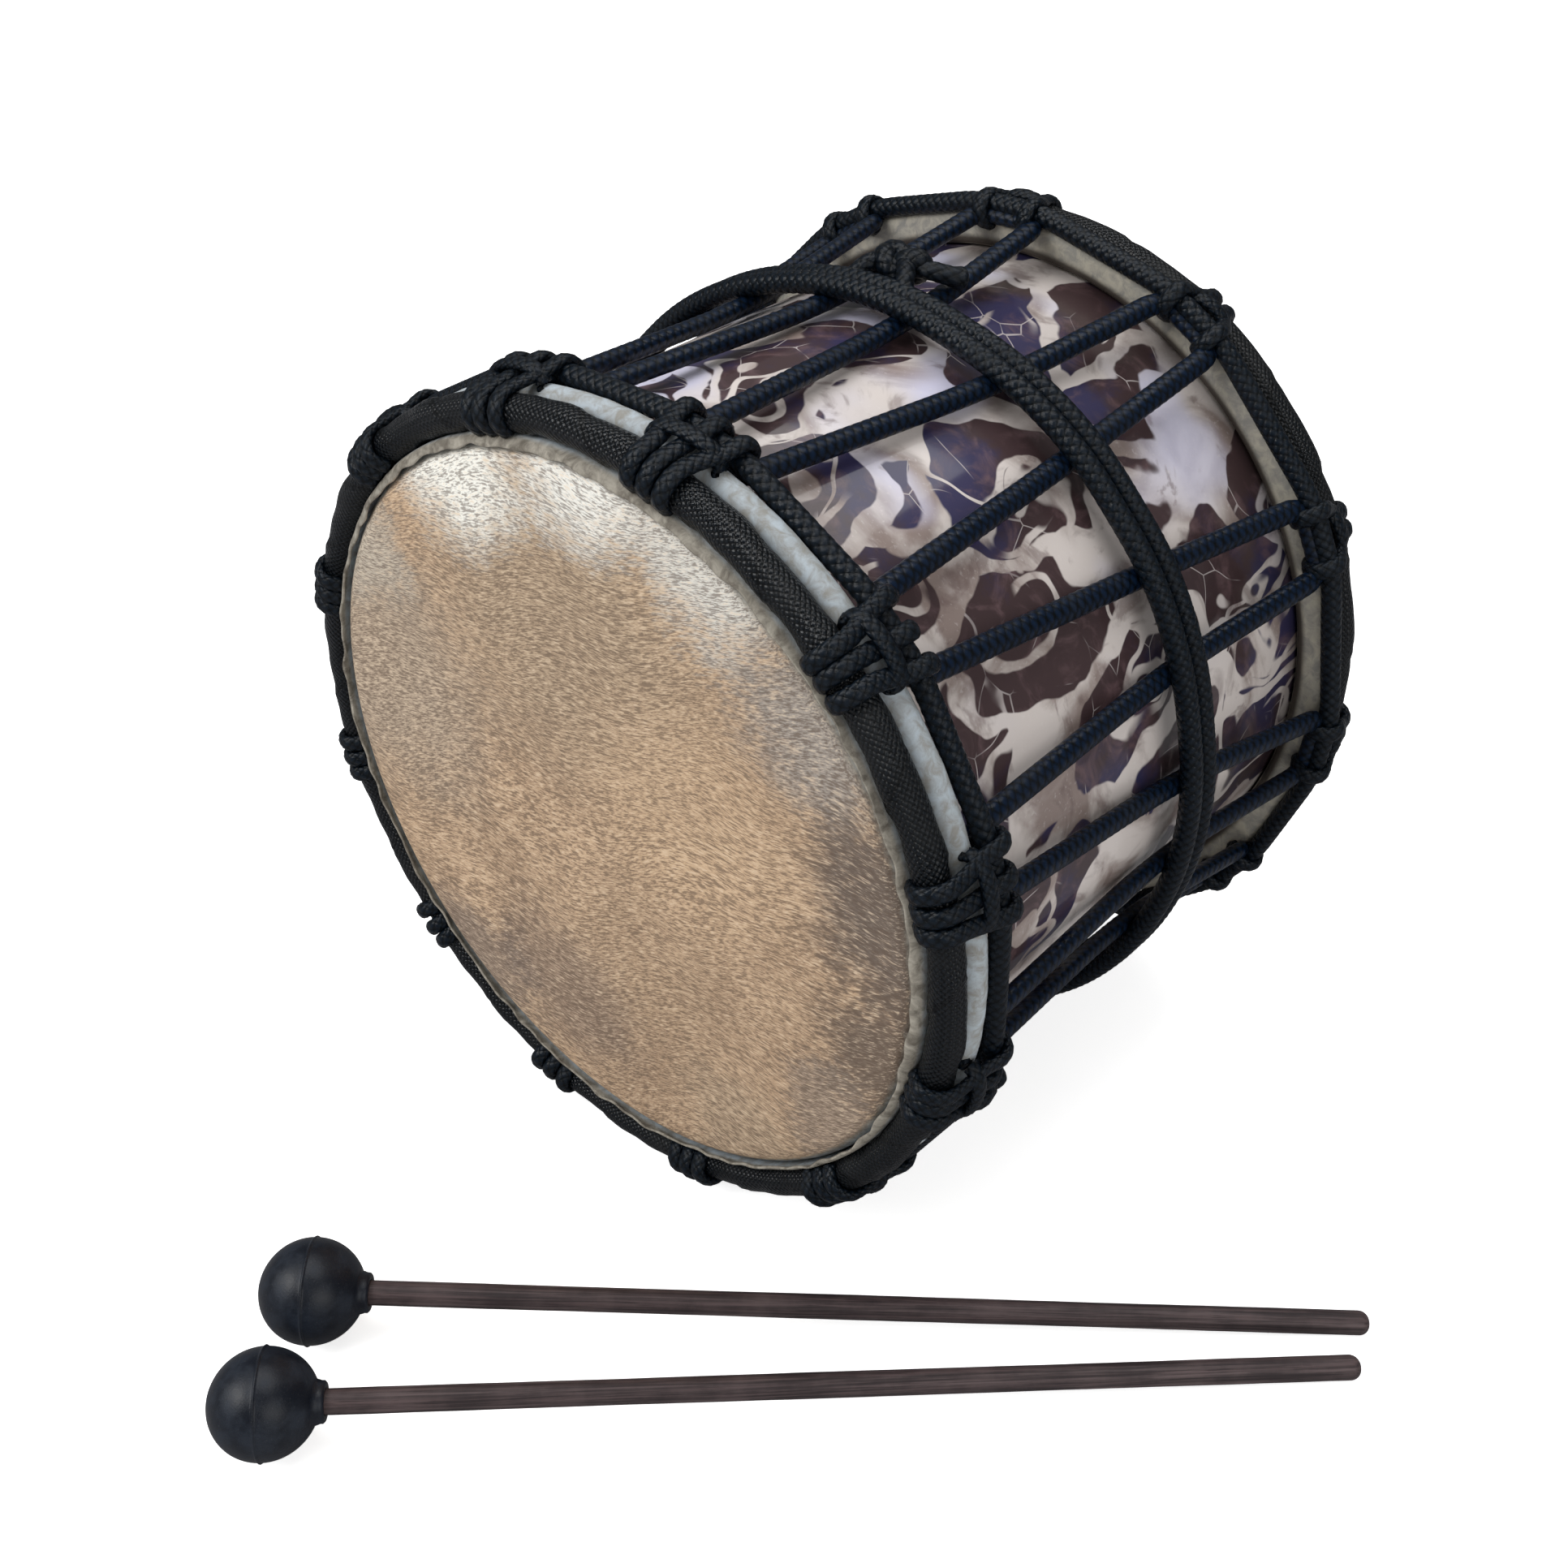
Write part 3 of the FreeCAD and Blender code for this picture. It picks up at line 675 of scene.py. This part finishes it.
def makeCrownWrap(end, back, tape):
    look = crownLook
    place = headCentre + Vector((0, endY(drum["crownY"], back) * mm, 0))
    bpy.ops.mesh.primitive_torus_add(
        align="WORLD", location=place, rotation=(math.pi / 2, 0, 0),
        major_segments=look["segments"], major_radius=drum["crownRadius"] * mm,
        minor_segments=look["around"], minor_radius=look["radius"] * mm)
    piece = applyPlace()
    mesh = piece.data
    uv = np.empty(len(mesh.loops) * 2)
    mesh.uv_layers.active.data.foreach_get("uv", uv)
    corner = np.empty(len(mesh.loops), int)
    mesh.loops.foreach_get("vertex_index", corner)
    flat = np.zeros((len(mesh.vertices), 2))
    flat[corner] = uv.reshape(-1, 2)
    lap = (flat[:, 0] * tapeLook["turns"] + flat[:, 1]) % 1
    height = look["lap"] * (1 - lap) + look["lumps"] * ripple(flat[:, 0] * math.tau, (9, 22, 41, 67))
    normal = np.empty(len(mesh.vertices) * 3)
    mesh.vertices.foreach_get("normal", normal)
    setPoints(piece, points(piece) + normal.reshape(-1, 3) * height[:, None] * mm)
    finishPiece(piece, f"{end}_hoop_tape", "drum", "hoop_tape", tape, f"{end}_crown_wrap")


# A line that rounds each corner over its bend, sampled evenly. All in millimetres.
def softLine(corners, bends, closed=False, step=1.2):
    corners = np.asarray(corners, float)
    count = len(corners)
    bends = np.broadcast_to(bends, count)
    line = [] if closed else [corners[0]]
    for number in range(count) if closed else range(1, count - 1):
        corner = corners[number]
        ends = []
        for other in (corners[number - 1], corners[(number + 1) % count]):
            gap = np.linalg.norm(other - corner)
            ends.append(corner + (other - corner) / gap * min(bends[number], 0.48 * gap))
        for share in np.linspace(0, 1, 9):
            line.append((1 - share) ** 2 * ends[0] + 2 * share * (1 - share) * corner + share ** 2 * ends[1])
    line.append(line[0] if closed else corners[-1])
    line = np.array(line)
    run = np.concatenate([[0], np.cumsum(np.linalg.norm(np.diff(line, axis=0), axis=1))])
    at = np.linspace(0, run[-1], int(round(run[-1] / step)) + 1)
    even = np.stack([np.interp(at, run, line[:, axis]) for axis in range(3)], -1)
    return even[:-1] if closed else even


def unit(vectors):
    return vectors / np.linalg.norm(vectors, axis=-1, keepdims=True)


def awayFromAxis(line):
    return unit(line * np.array([1, 0, 1]))


braidMiddle = 0.8    # the braid's relief is raised and sunk from this height
endDome = 0.8        # how far a cut end bulges


# The skin of a braided rope along a line: same plaits as the braid group, raised for real.
def ropeSkin(line, away, wide, thick, around, plaits, closed, plait=3.4, relief=0.32):
    ahead = np.roll(line, -1, 0) - np.roll(line, 1, 0)
    if not closed:
        ahead[0], ahead[-1] = line[1] - line[0], line[-1] - line[-2]
    ahead = unit(ahead)
    up = unit(away - (away * ahead).sum(1, keepdims=True) * ahead)
    side = np.cross(ahead, up)
    rings = len(line)
    length = np.linalg.norm(np.diff(line, axis=0), axis=1).sum() * (rings / (rings - 1) if closed else 1)
    last = rings if closed else rings - 1
    total = max(2, 2 * round(length / plait / 2))
    v = np.arange(rings) / last * total
    u = np.arange(around) / around
    crests = [np.cos(math.pi * (u[None] * plaits + sign * v[:, None])) for sign in (1, -1)]
    over = 0.5 + 0.5 * crests[0] * crests[1]
    height = np.abs(crests[0]) * over + np.abs(crests[1]) * (1 - over)
    raised = relief * (height - braidMiddle)[..., None]
    turn = u * math.tau
    aside, above = (np.reshape(half, (-1, 1, 1)) + raised for half in (wide, thick))
    skin = (line[:, None] + side[:, None] * np.cos(turn)[None, :, None] * aside
            + up[:, None] * np.sin(turn)[None, :, None] * above)
    ring = np.arange(last)
    col = np.arange(around)
    here, there = ring[:, None] * around, ((ring + 1) % rings)[:, None] * around
    nextCol = (col + 1) % around
    faces = np.stack([here + col, there + col, there + nextCol, here + nextCol], -1).reshape(-1, 4)
    low, high = v[ring][:, None] + 0 * col, (ring[:, None] + 1) / last * total + 0 * col
    left, right = col / around + 0 * ring[:, None], (col + 1) / around + 0 * ring[:, None]
    square = ((left, low), (left, high), (right, high), (right, low))
    uv = np.stack([np.stack(pair, -1) for pair in square], 2)
    ends = None if closed else (line[0], line[-1], around, rings)
    return skin.reshape(-1, 3), faces, uv.reshape(-1, 2), ends


# Joins rope skins into one piece. Open ends are closed with a shallow dome.
def ropePiece(skins):
    corners, faces, loops, base = [], [], [], 0
    for skin, quads, uv, ends in skins:
        corners.append(skin)
        faces += (quads + base).tolist()
        loops.append(uv)
        size = len(skin)
        if ends:
            first, last, around, rings = ends
            tips = []
            for tip, ring, inner in ((first, skin[:around], skin[around:2 * around]),
                                     (last, skin[-around:], skin[-2 * around:-around])):
                tips.append(ring.mean(0) + unit(tip - inner.mean(0)) * endDome)
            corners.append(np.array(tips))
            for col in range(around):
                following = (col + 1) % around
                faces.append([base + size, base + col, base + following])
                faces.append([base + size + 1, base + (rings - 1) * around + following,
                              base + (rings - 1) * around + col])
            loops.append(np.zeros((around * 6, 2)))
            size += 2
        base += size
    mesh = bpy.data.meshes.new("rope")
    mesh.from_pydata(toRow(np.concatenate(corners)).tolist(), [], faces)
    mesh.uv_layers.new(name="UVMap")
    mesh.uv_layers.active.data.foreach_set("uv", np.concatenate(loops).astype(np.float32).ravel())
    return newObject("rope", mesh)


pressed = {"height": 1.2, "kept": 0.12, "least": 0.1}


# Nothing lies under the floor: rope beneath the drum is pressed flat by its weight.
def pressOnFloor(piece):
    here = points(piece)
    height = pressed["height"] * mm
    low = here[:, 2] < height
    here[low, 2] = height + (here[low, 2] - height) * pressed["kept"]
    here[:, 2] = np.maximum(here[:, 2], pressed["least"] * mm)
    setPoints(piece, here)


def roundRope(line, look):
    return ropePiece([ropeSkin(line, awayFromAxis(line), look["half"], look["half"], look["around"],
                               look["plaits"], True)])


cradleLook = {"half": 3.5, "around": 20, "plaits": 5, "bend": 9.0, "backOut": 2.4, "backToHoop": 3.6}


def makeCradle(end, back, angles):
    look = cradleLook
    radius = drum["cradleRadius"] + look["backOut"] * back
    along = endY(drum["cradleY"] - look["backToHoop"] * back, back)
    corners = []
    for angle in angles:
        for sign in (1, -1):
            corners.append(onDrum(radius, angle + sign * drum["legSpread"], along))
    line = softLine(corners, look["bend"], closed=True, step=0.95)
    piece = roundRope(line, look)
    pressOnFloor(piece)
    finishPiece(piece, f"{end}_cradle", "drum", "braided_rope", hoopRope, f"{end}_cradle_rope")


laceLook = {"wide": 3.9, "thick": 3.1, "around": 16, "plaits": 4, "hook": 8.0, "press": 30.0,
            "backRadius": 141.8, "backHook": 20.0}


def makeLace():
    look = laceLook
    spread, near, far = drum["legSpread"], drum["legY"], endY(drum["legY"], True)
    share, hook = (drum["beltY"] - near) / (far - near), endY(look["backHook"], True)
    fronts = frontAngles[4:] + [angle - 360 for angle in frontAngles[:5]]
    backs = backAngles[4:] + [angle - 360 for angle in backAngles[:4]]
    atHead, atBelt = (drum["legRadius"], near), (drum["legBeltRadius"], drum["beltY"])
    atBack = (look["backRadius"], hook)
    corners, bends = [], []
    for front, back, following in zip(fronts, backs, fronts[1:]):
        ends = [front - spread, back + spread, back - spread, following + spread]
        down = [ends[0] + (ends[1] - ends[0]) * share, ends[3] + (ends[2] - ends[3]) * share]
        for (radius, along), angle in ((atHead, ends[0]), (atBelt, down[0]), (atBack, ends[1]),
                                       (atBack, ends[2]), (atBelt, down[1]), (atHead, ends[3])):
            corners.append(onDrum(radius, angle, along))
        bends += [look["hook"], look["press"], look["hook"]] * 2
    line = softLine(corners, bends, closed=True, step=1.25)
    piece = ropePiece([ropeSkin(line, awayFromAxis(line), look["wide"], look["thick"], look["around"],
                                look["plaits"], True, plait=3.8, relief=0.24)])
    finishPiece(piece, "lace", "drum", "braided_rope", legRope, "tension_rope")


beltLook = {"half": 3.75, "around": 22, "plaits": 5, "rows": (130.1, 137.9), "bend": 16.0,
            "ease": 0.4, "wander": 0.5}


# The belt bears on the legs, so each turn is a polygon that gives a little between them.
def makeBelt(number, along):
    look = beltLook
    spread, near, far = drum["legSpread"], drum["legY"], endY(drum["legY"], True)
    share = (drum["beltY"] - near) / (far - near)
    bearing = []
    for front, back in zip(frontAngles, backAngles):
        bearing.append((front - spread) + (back + spread - front + spread) * share)
    for front, back in zip(frontAngles[1:] + [frontAngles[0] - 360], backAngles):
        bearing.append((front + spread) + (back - spread - front - spread) * share)
    bearing = sorted(bearing)
    corners = []
    for place, angle in enumerate(bearing):
        corners.append(onDrum(drum["beltRadius"] + look["ease"], angle,
                              along + look["wander"] * math.sin(place * 1.7)))
    line = softLine(corners, look["bend"], closed=True, step=0.95)
    piece = roundRope(line, look)
    names = ("front", "back")
    finishPiece(piece, f"belt_turn_{number + 1}", "drum", "braided_rope", hoopRope,
                       f"belt_rope_{names[number]}")


# A hitch: turns of rope over the crown hoop that hold the cradle, bound by a cross turn.
hitchLook = {
    "front": {
        "turns": (-6.6, 0.0, 6.4),     # where the turns lie, round the hoop
        "fan": (-10.6, -0.6, 10.2),    # where they take hold of the cradle rope
        "route": [(0.3, 145.2, 11.0), (0.8, 145.6, 17.0), (1.0, 147.6, 22.4), (1.0, 146.4, 26.6),
                  (1.0, 142.4, 29.2), (0.95, 138.6, 26.8), (0.8, 137.4, 21.5)],
        "band": (14.0, 9.0, 148.4),    # the cross turn: distance behind the head, reach and radius
    },
    "back": {
        "turns": (-3.6, 3.5),
        "fan": (-9.4, 9.2),
        "route": [(0.4, 145.4, 10.0), (0.9, 147.2, 14.5), (1.0, 149.2, 19.3), (1.0, 147.8, 23.2),
                  (1.0, 143.6, 25.4), (0.95, 139.6, 24.0), (0.8, 138.0, 20.5)],
        "band": (12.0, 6.2, 147.6),
    },
    "wide": 3.0, "thick": 1.9, "around": 14,
    "wrap": 7.3,                       # from the hoop's middle to the rope's
    "laps": (145, 124, 98, 72, 46, 20, -6),    # degrees round the hoop, from inside it to outside
    "tucked": 120,                     # past this lap the rope is tucked in by this much
    "tuck": -0.9,
    "bandLine": [(-1.15, 9.5), (-1.3, 5.0), (-0.9, 1.2), (0.0, 0.0), (0.9, 1.2), (1.3, 5.0), (1.15, 9.5)],
}


def hitchPoint(angle, aside, radius, along, back):
    return onDrum(radius, angle + np.degrees(aside / 143.0), endY(along, back))


def makeHitch(angle, back):
    look, form = hitchLook, hitchLook["back" if back else "front"]
    skins = []
    for turn, fan in zip(form["turns"], form["fan"]):
        shift, lift, late = draws.uniform(-0.7, 0.7), draws.uniform(-0.4, 0.5), draws.uniform(-0.8, 0.8)
        corners = []
        for lap in look["laps"]:
            reach = look["wrap"] + (lift if lap < look["tucked"] else look["tuck"])
            wrapped = math.radians(lap)
            radius = drum["crownRadius"] + reach * math.cos(wrapped)
            along = drum["crownY"] - reach * math.sin(wrapped)
            corners.append(hitchPoint(angle, turn + shift * (lap < 100), radius, along, back))
        for share, radius, along in form["route"]:
            aside = turn + (fan - turn) * share + shift * (1 - share)
            corners.append(hitchPoint(angle, aside, radius + lift, along + late * (1 - share), back))
        line = softLine(corners, 7.0, step=1.05)
        across = np.broadcast_to(onDrum(1.0, angle + 90, 0.0), line.shape)
        ahead = unit(np.gradient(line, axis=0))
        skins.append(ropeSkin(line, unit(np.cross(across, ahead)), look["wide"], look["thick"],
                              look["around"], 4, False, plait=3.2))
    along, reach, top = form["band"]
    along, lean = along + draws.uniform(-0.9, 0.9), draws.uniform(-1.6, 1.6)
    corners = []
    for share, under in look["bandLine"]:
        corners.append(hitchPoint(angle, reach * share, top - under, along + lean * share, back))
    line = softLine(corners, 6.0, step=1.05)
    skins.append(ropeSkin(line, awayFromAxis(line), look["wide"], look["thick"], look["around"], 4, False,
                          plait=3.2))
    return skins


def makeHitches(end, back, angles):
    skins = []
    for angle in angles:
        skins += makeHitch(angle, back)
    piece = ropePiece(skins)
    pressOnFloor(piece)
    closeAndTurnOut(piece)
    finishPiece(piece, f"{end}_hitch_turns", "drum", "braided_rope", hoopRope, f"{end}_hitches")


knotLook = {
    "belt": {"angle": 92.0, "along": 151.0, "radius": 142.0, "size": (8.6, 4.4, 3.0), "half": 4.0},
    "end": {"angle": -20.5, "along": 33.5, "radius": 142.3, "size": (3.4, 4.2, 2.4), "half": 3.0},
    "tail": [(142.6, 89.0, 151.0), (143.2, 86.4, 152.2), (142.4, 84.4, 154.8), (141.2, 83.4, 158.6)],
    "strands": [[(139.5, 96.0, 138.0), (143.5, 95.0, 144.0), (144.0, 93.5, 150.0)],
                [(139.5, 87.0, 138.0), (143.5, 88.5, 144.0), (144.0, 90.5, 150.0)]],
}


# An overhand knot drawn tight: a three-lobed loop squeezed into the knot's three sizes.
def knotSkin(knot):
    steps = np.linspace(0, math.tau, 150, endpoint=False)
    lobes = np.stack([np.sin(steps) + 2 * np.sin(2 * steps), np.cos(steps) - 2 * np.cos(2 * steps),
                      -np.sin(3 * steps)], -1) / np.array([2.75, 2.9, 1.0])
    across = onDrum(1.0, knot["angle"] + 90, 0.0)
    outward = onDrum(1.0, knot["angle"], 0.0)
    wide, long, high = knot["size"]
    middle = onDrum(knot["radius"], knot["angle"], knot["along"])
    line = (middle + lobes[:, :1] * wide * across + lobes[:, 1:2] * long * np.array([0, 1, 0])
            + lobes[:, 2:] * high * outward)
    away = unit(line - middle + 0.3 * outward)
    return ropeSkin(line, away, knot["half"], knot["half"] * 0.9, 14, 4, True, plait=3.0)


def makeKnots():
    belt = knotLook["belt"]
    skins = [knotSkin(belt)]
    for strand in knotLook["strands"]:
        line = softLine([onDrum(*place) for place in strand], 7.0, step=1.0)
        skins.append(ropeSkin(line, awayFromAxis(line), 3.2, 3.0, 14, 4, False, plait=3.2))
    finishPiece(ropePiece(skins), "belt_tie", "drum", "braided_rope", knotRope, "belt_knot")
    line = softLine([onDrum(*place) for place in knotLook["tail"]], 9.0, step=1.0)
    worn = np.interp(np.linspace(0, 1, len(line)), [0, 0.7, 0.95, 1], [3.5, 3.7, 4.6, 3.4])
    finishPiece(ropePiece([ropeSkin(line, awayFromAxis(line), worn, worn * 0.85, 18, 5, False)]),
                "belt_end", "drum", "braided_rope", knotRope, "belt_tail")
    finishPiece(ropePiece([knotSkin(knotLook["end"])]), "lace_end_tie", "drum", "braided_rope", knotRope,
                "rope_end_knot")


wrapShape = {"inner": 127.5, "outer": 128.3, "front": 9.0, "back": 223.0, "segments": 288}


def makeShellWrap():
    shape = wrapShape
    middle = (shape["front"] + shape["back"]) / 2
    place = headCentre + Vector((0, middle * mm, 0))
    bpy.ops.mesh.primitive_cylinder_add(
        vertices=shape["segments"], radius=shape["outer"] * mm, depth=(shape["back"] - shape["front"]) * mm,
        end_fill_type="NOTHING", location=place, rotation=(math.pi / 2, 0, 0))
    piece = applyPlace()
    thicken(piece, shape["outer"] - shape["inner"])
    rounded = piece.modifiers.new("edges", "BEVEL")
    rounded.width = 0.25 * mm
    rounded.segments = 2
    rounded.limit_method = "ANGLE"
    bpy.ops.object.modifier_apply(modifier=rounded.name)
    finishPiece(piece, "printed_wrap", "drum", "lacquered_wrap", wrapMaterial(), "shell_wrap")
    bpy.ops.object.shade_smooth_by_angle(angle=math.radians(40))


malletLook = {
    "ball": 17.3, "seam": 0.45, "seamWidth": 0.9,
    "collar": 6.5, "collarEnd": 19.0, "bore": 4.15,
    "stick": 4.0, "wear": 0.08, "stickStart": 6.0, "stickEnd": 349.0, "stickRound": 3.2,
    "headings": {"mallet_1": 41.3, "mallet_2": 45.5},
}


def makeMallet(name, heading):
    look = malletLook
    low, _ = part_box(name + "_ball")
    rest = (look["ball"] + look["seam"]) * mm
    centre = Vector((low.x + look["ball"] * mm, low.y + look["ball"] * mm, rest))
    slope = math.asin((rest / mm - look["stick"] - look["wear"]) / (look["stickEnd"] - look["stickRound"]))
    turn = math.radians(heading)
    axis = Vector((math.cos(turn) * math.cos(slope), math.sin(turn) * math.cos(slope), -math.sin(slope)))
    outline = []
    meets = math.degrees(math.asin(look["collar"] / look["ball"]))
    # close steps over the seam, wide ones elsewhere
    turns = [*np.linspace(179, 93, 26), *np.linspace(92, 88, 7), *np.linspace(87, meets + 2, 22)]
    for turned in np.radians(turns):
        along = look["ball"] * math.cos(turned)
        proud = look["seam"] * math.exp(-(along / look["seamWidth"] * 2.2) ** 2)
        outline.append(((look["ball"] + proud) * math.sin(turned), along))
    top = look["collarEnd"]
    outline += [(look["collar"] + 0.25, top - 2.1), (look["collar"], top - 1.5), (look["collar"], top - 0.6),
                (look["collar"] - 0.6, top), (look["bore"] + 0.3, top), (look["bore"], top - 0.3),
                (look["bore"], 6.2), (0.4, 6.0)]
    ball = turnedPiece(outline, 96, centre, axis)
    closeAndTurnOut(ball)
    finishPiece(ball, name + "_head", name, "mallet_rubber", rubberMaterial(name + "Rubber", centre),
                name + "_ball")
    thick, tip, rounding = look["stick"], look["stickEnd"], look["stickRound"]
    outline = [(thick - 1.0, look["stickStart"]), (thick, look["stickStart"] + 1.0)]
    for along in np.linspace(20, tip - rounding, 46):
        uneven = 0.6 * math.sin(along / 23) + draws.uniform(-0.4, 0.4)
        outline.append((thick + look["wear"] * uneven, along))
    outline += [(thick - rounding + rounding * math.cos(turned), tip - rounding + rounding * math.sin(turned))
                for turned in np.linspace(0.2, math.pi / 2, 7)]
    outline.append((0.3, tip))
    stick = turnedPiece(outline, 40, centre, axis)
    closeAndTurnOut(stick)
    grain = woodMaterial(name + "Wood", stickLook, 0.42, turn=(0, -slope, -turn), centre=centre,
                         Specular_IOR_Level=0.25)
    finishPiece(stick, name + "_shaft", name, "mallet_stick", grain, name + "_stick")


# metres from the played head, degrees, millimetres
view = {"offset": (0.3529, -0.3071, 0.3636), "azimuth": 41.68, "elevation": 36.74,
        "lens": 42.06, "sensor": 36}


def makeCamera():
    camera = bpy.data.cameras.new("camera")
    camera.lens = view["lens"]
    camera.sensor_width = view["sensor"]
    piece = newObject("camera", camera)
    azimuth, elevation = math.radians(view["azimuth"]), math.radians(view["elevation"])
    look = Vector((-math.sin(azimuth) * math.cos(elevation), math.cos(azimuth) * math.cos(elevation),
                   -math.sin(elevation)))
    piece.location = headCentre + Vector(view["offset"])
    piece.rotation_euler = look.to_track_quat("-Z", "Y").to_euler()
    bpy.context.scene.camera = piece


lights = {
    "key": {"at": (-0.9, -1.5, 1.7), "size": 1.5, "power": 40},
    "fill": {"at": (1.9, -0.5, 1.1), "size": 1.6, "power": 15},
    "top": {"at": (-0.2, 0.6, 2.2), "size": 1.8, "power": 28},
}
aim = Vector((0, 0, 0.1))
# The surroundings light the part with "strength"; seen directly and mirrored they differ.
surround = {"strength": 0.34, "seen": 0.66, "mirrored": -0.22}
floorLook = {"size": 40, "pale": ((0.90, 0.90, 0.90), (0.93, 0.93, 0.93)), "mirrored": (0.25, 0.25, 0.26),
             "glow": 0.68}


# Whether a ray comes straight from the camera, and whether it is a mirrored one.
def rayKinds(tree):
    rays = newNode(tree, "LightPath").outputs
    return maths("MAXIMUM", rays["Is Camera Ray"], rays["Is Transmission Ray"]), rays["Is Glossy Ray"]


def makeLights():
    for name, light in lights.items():
        lamp = bpy.data.lights.new(name, "AREA")
        lamp.size, lamp.energy = light["size"], light["power"]
        piece = newObject(name, lamp)
        piece.location = light["at"]
        piece.rotation_euler = (aim - Vector(light["at"])).to_track_quat("-Z", "Y").to_euler()
    world = bpy.data.worlds.new("studio")
    bpy.context.scene.world = world
    world.use_nodes = True
    tree = world.node_tree
    seen, mirrored = rayKinds(tree)
    strength = timesPlus(seen, surround["seen"], surround["strength"])
    strength = timesPlus(mirrored, surround["mirrored"], strength)
    background = tree.nodes["Background"]
    background.inputs["Color"].default_value = (1, 1, 1, 1)
    feed(background.inputs["Strength"], strength)


def makeFloor():
    bpy.ops.mesh.primitive_plane_add(size=floorLook["size"], location=(0, 0, 0))
    floor = bpy.context.object
    floor.name = "floor"
    material, shader, place, _ = newMaterial("paleFloor", Roughness=0.9, Specular_IOR_Level=0.1)
    shade = useGroup(mottle, place, Size=400, Contrast=0.6)
    seen, mirrored = rayKinds(material.node_tree)
    surface(shader, mix(mirrored, mix(shade, *floorLook["pale"]),
                                    floorLook["mirrored"]))
    shader.inputs["Emission Color"].default_value = (1, 1, 1, 1)
    feed(shader.inputs["Emission Strength"], times(seen, floorLook["glow"]))
    floor.data.materials.append(material)


makeCamera()
makeLights()
makeFloor()
print("camera, lights and floor ready")

frame["nodes"]["shell"].data.materials.clear()
frame["nodes"]["shell"].data.materials.append(
    woodMaterial("shellWood", woodLook, 0.6, turn=(0, 0, math.pi / 2)))
steel = steelMaterial()
for hoop in ("flesh", "crown"):
    for end in ("front", "back"):
        mesh = frame["nodes"][f"{end}_{hoop}_hoop"].data
        mesh.materials.clear()
        mesh.materials.append(steel)
tape = tapeMaterial()
makeShellWrap()
for end, back, angles, spots in (("front", False, frontAngles, hideLook["frontSpots"]),
                                 ("back", True, backAngles, hideLook["backSpots"])):
    makeHead(end, back, spots)
    makeCrownWrap(end, back, tape)
    makeCradle(end, back, angles)
    makeHitches(end, back, angles)
makeLace()
for number, along in enumerate(beltLook["rows"]):
    makeBelt(number, along)
makeKnots()
for name, heading in malletLook["headings"].items():
    makeMallet(name, heading)

print("all pieces made")
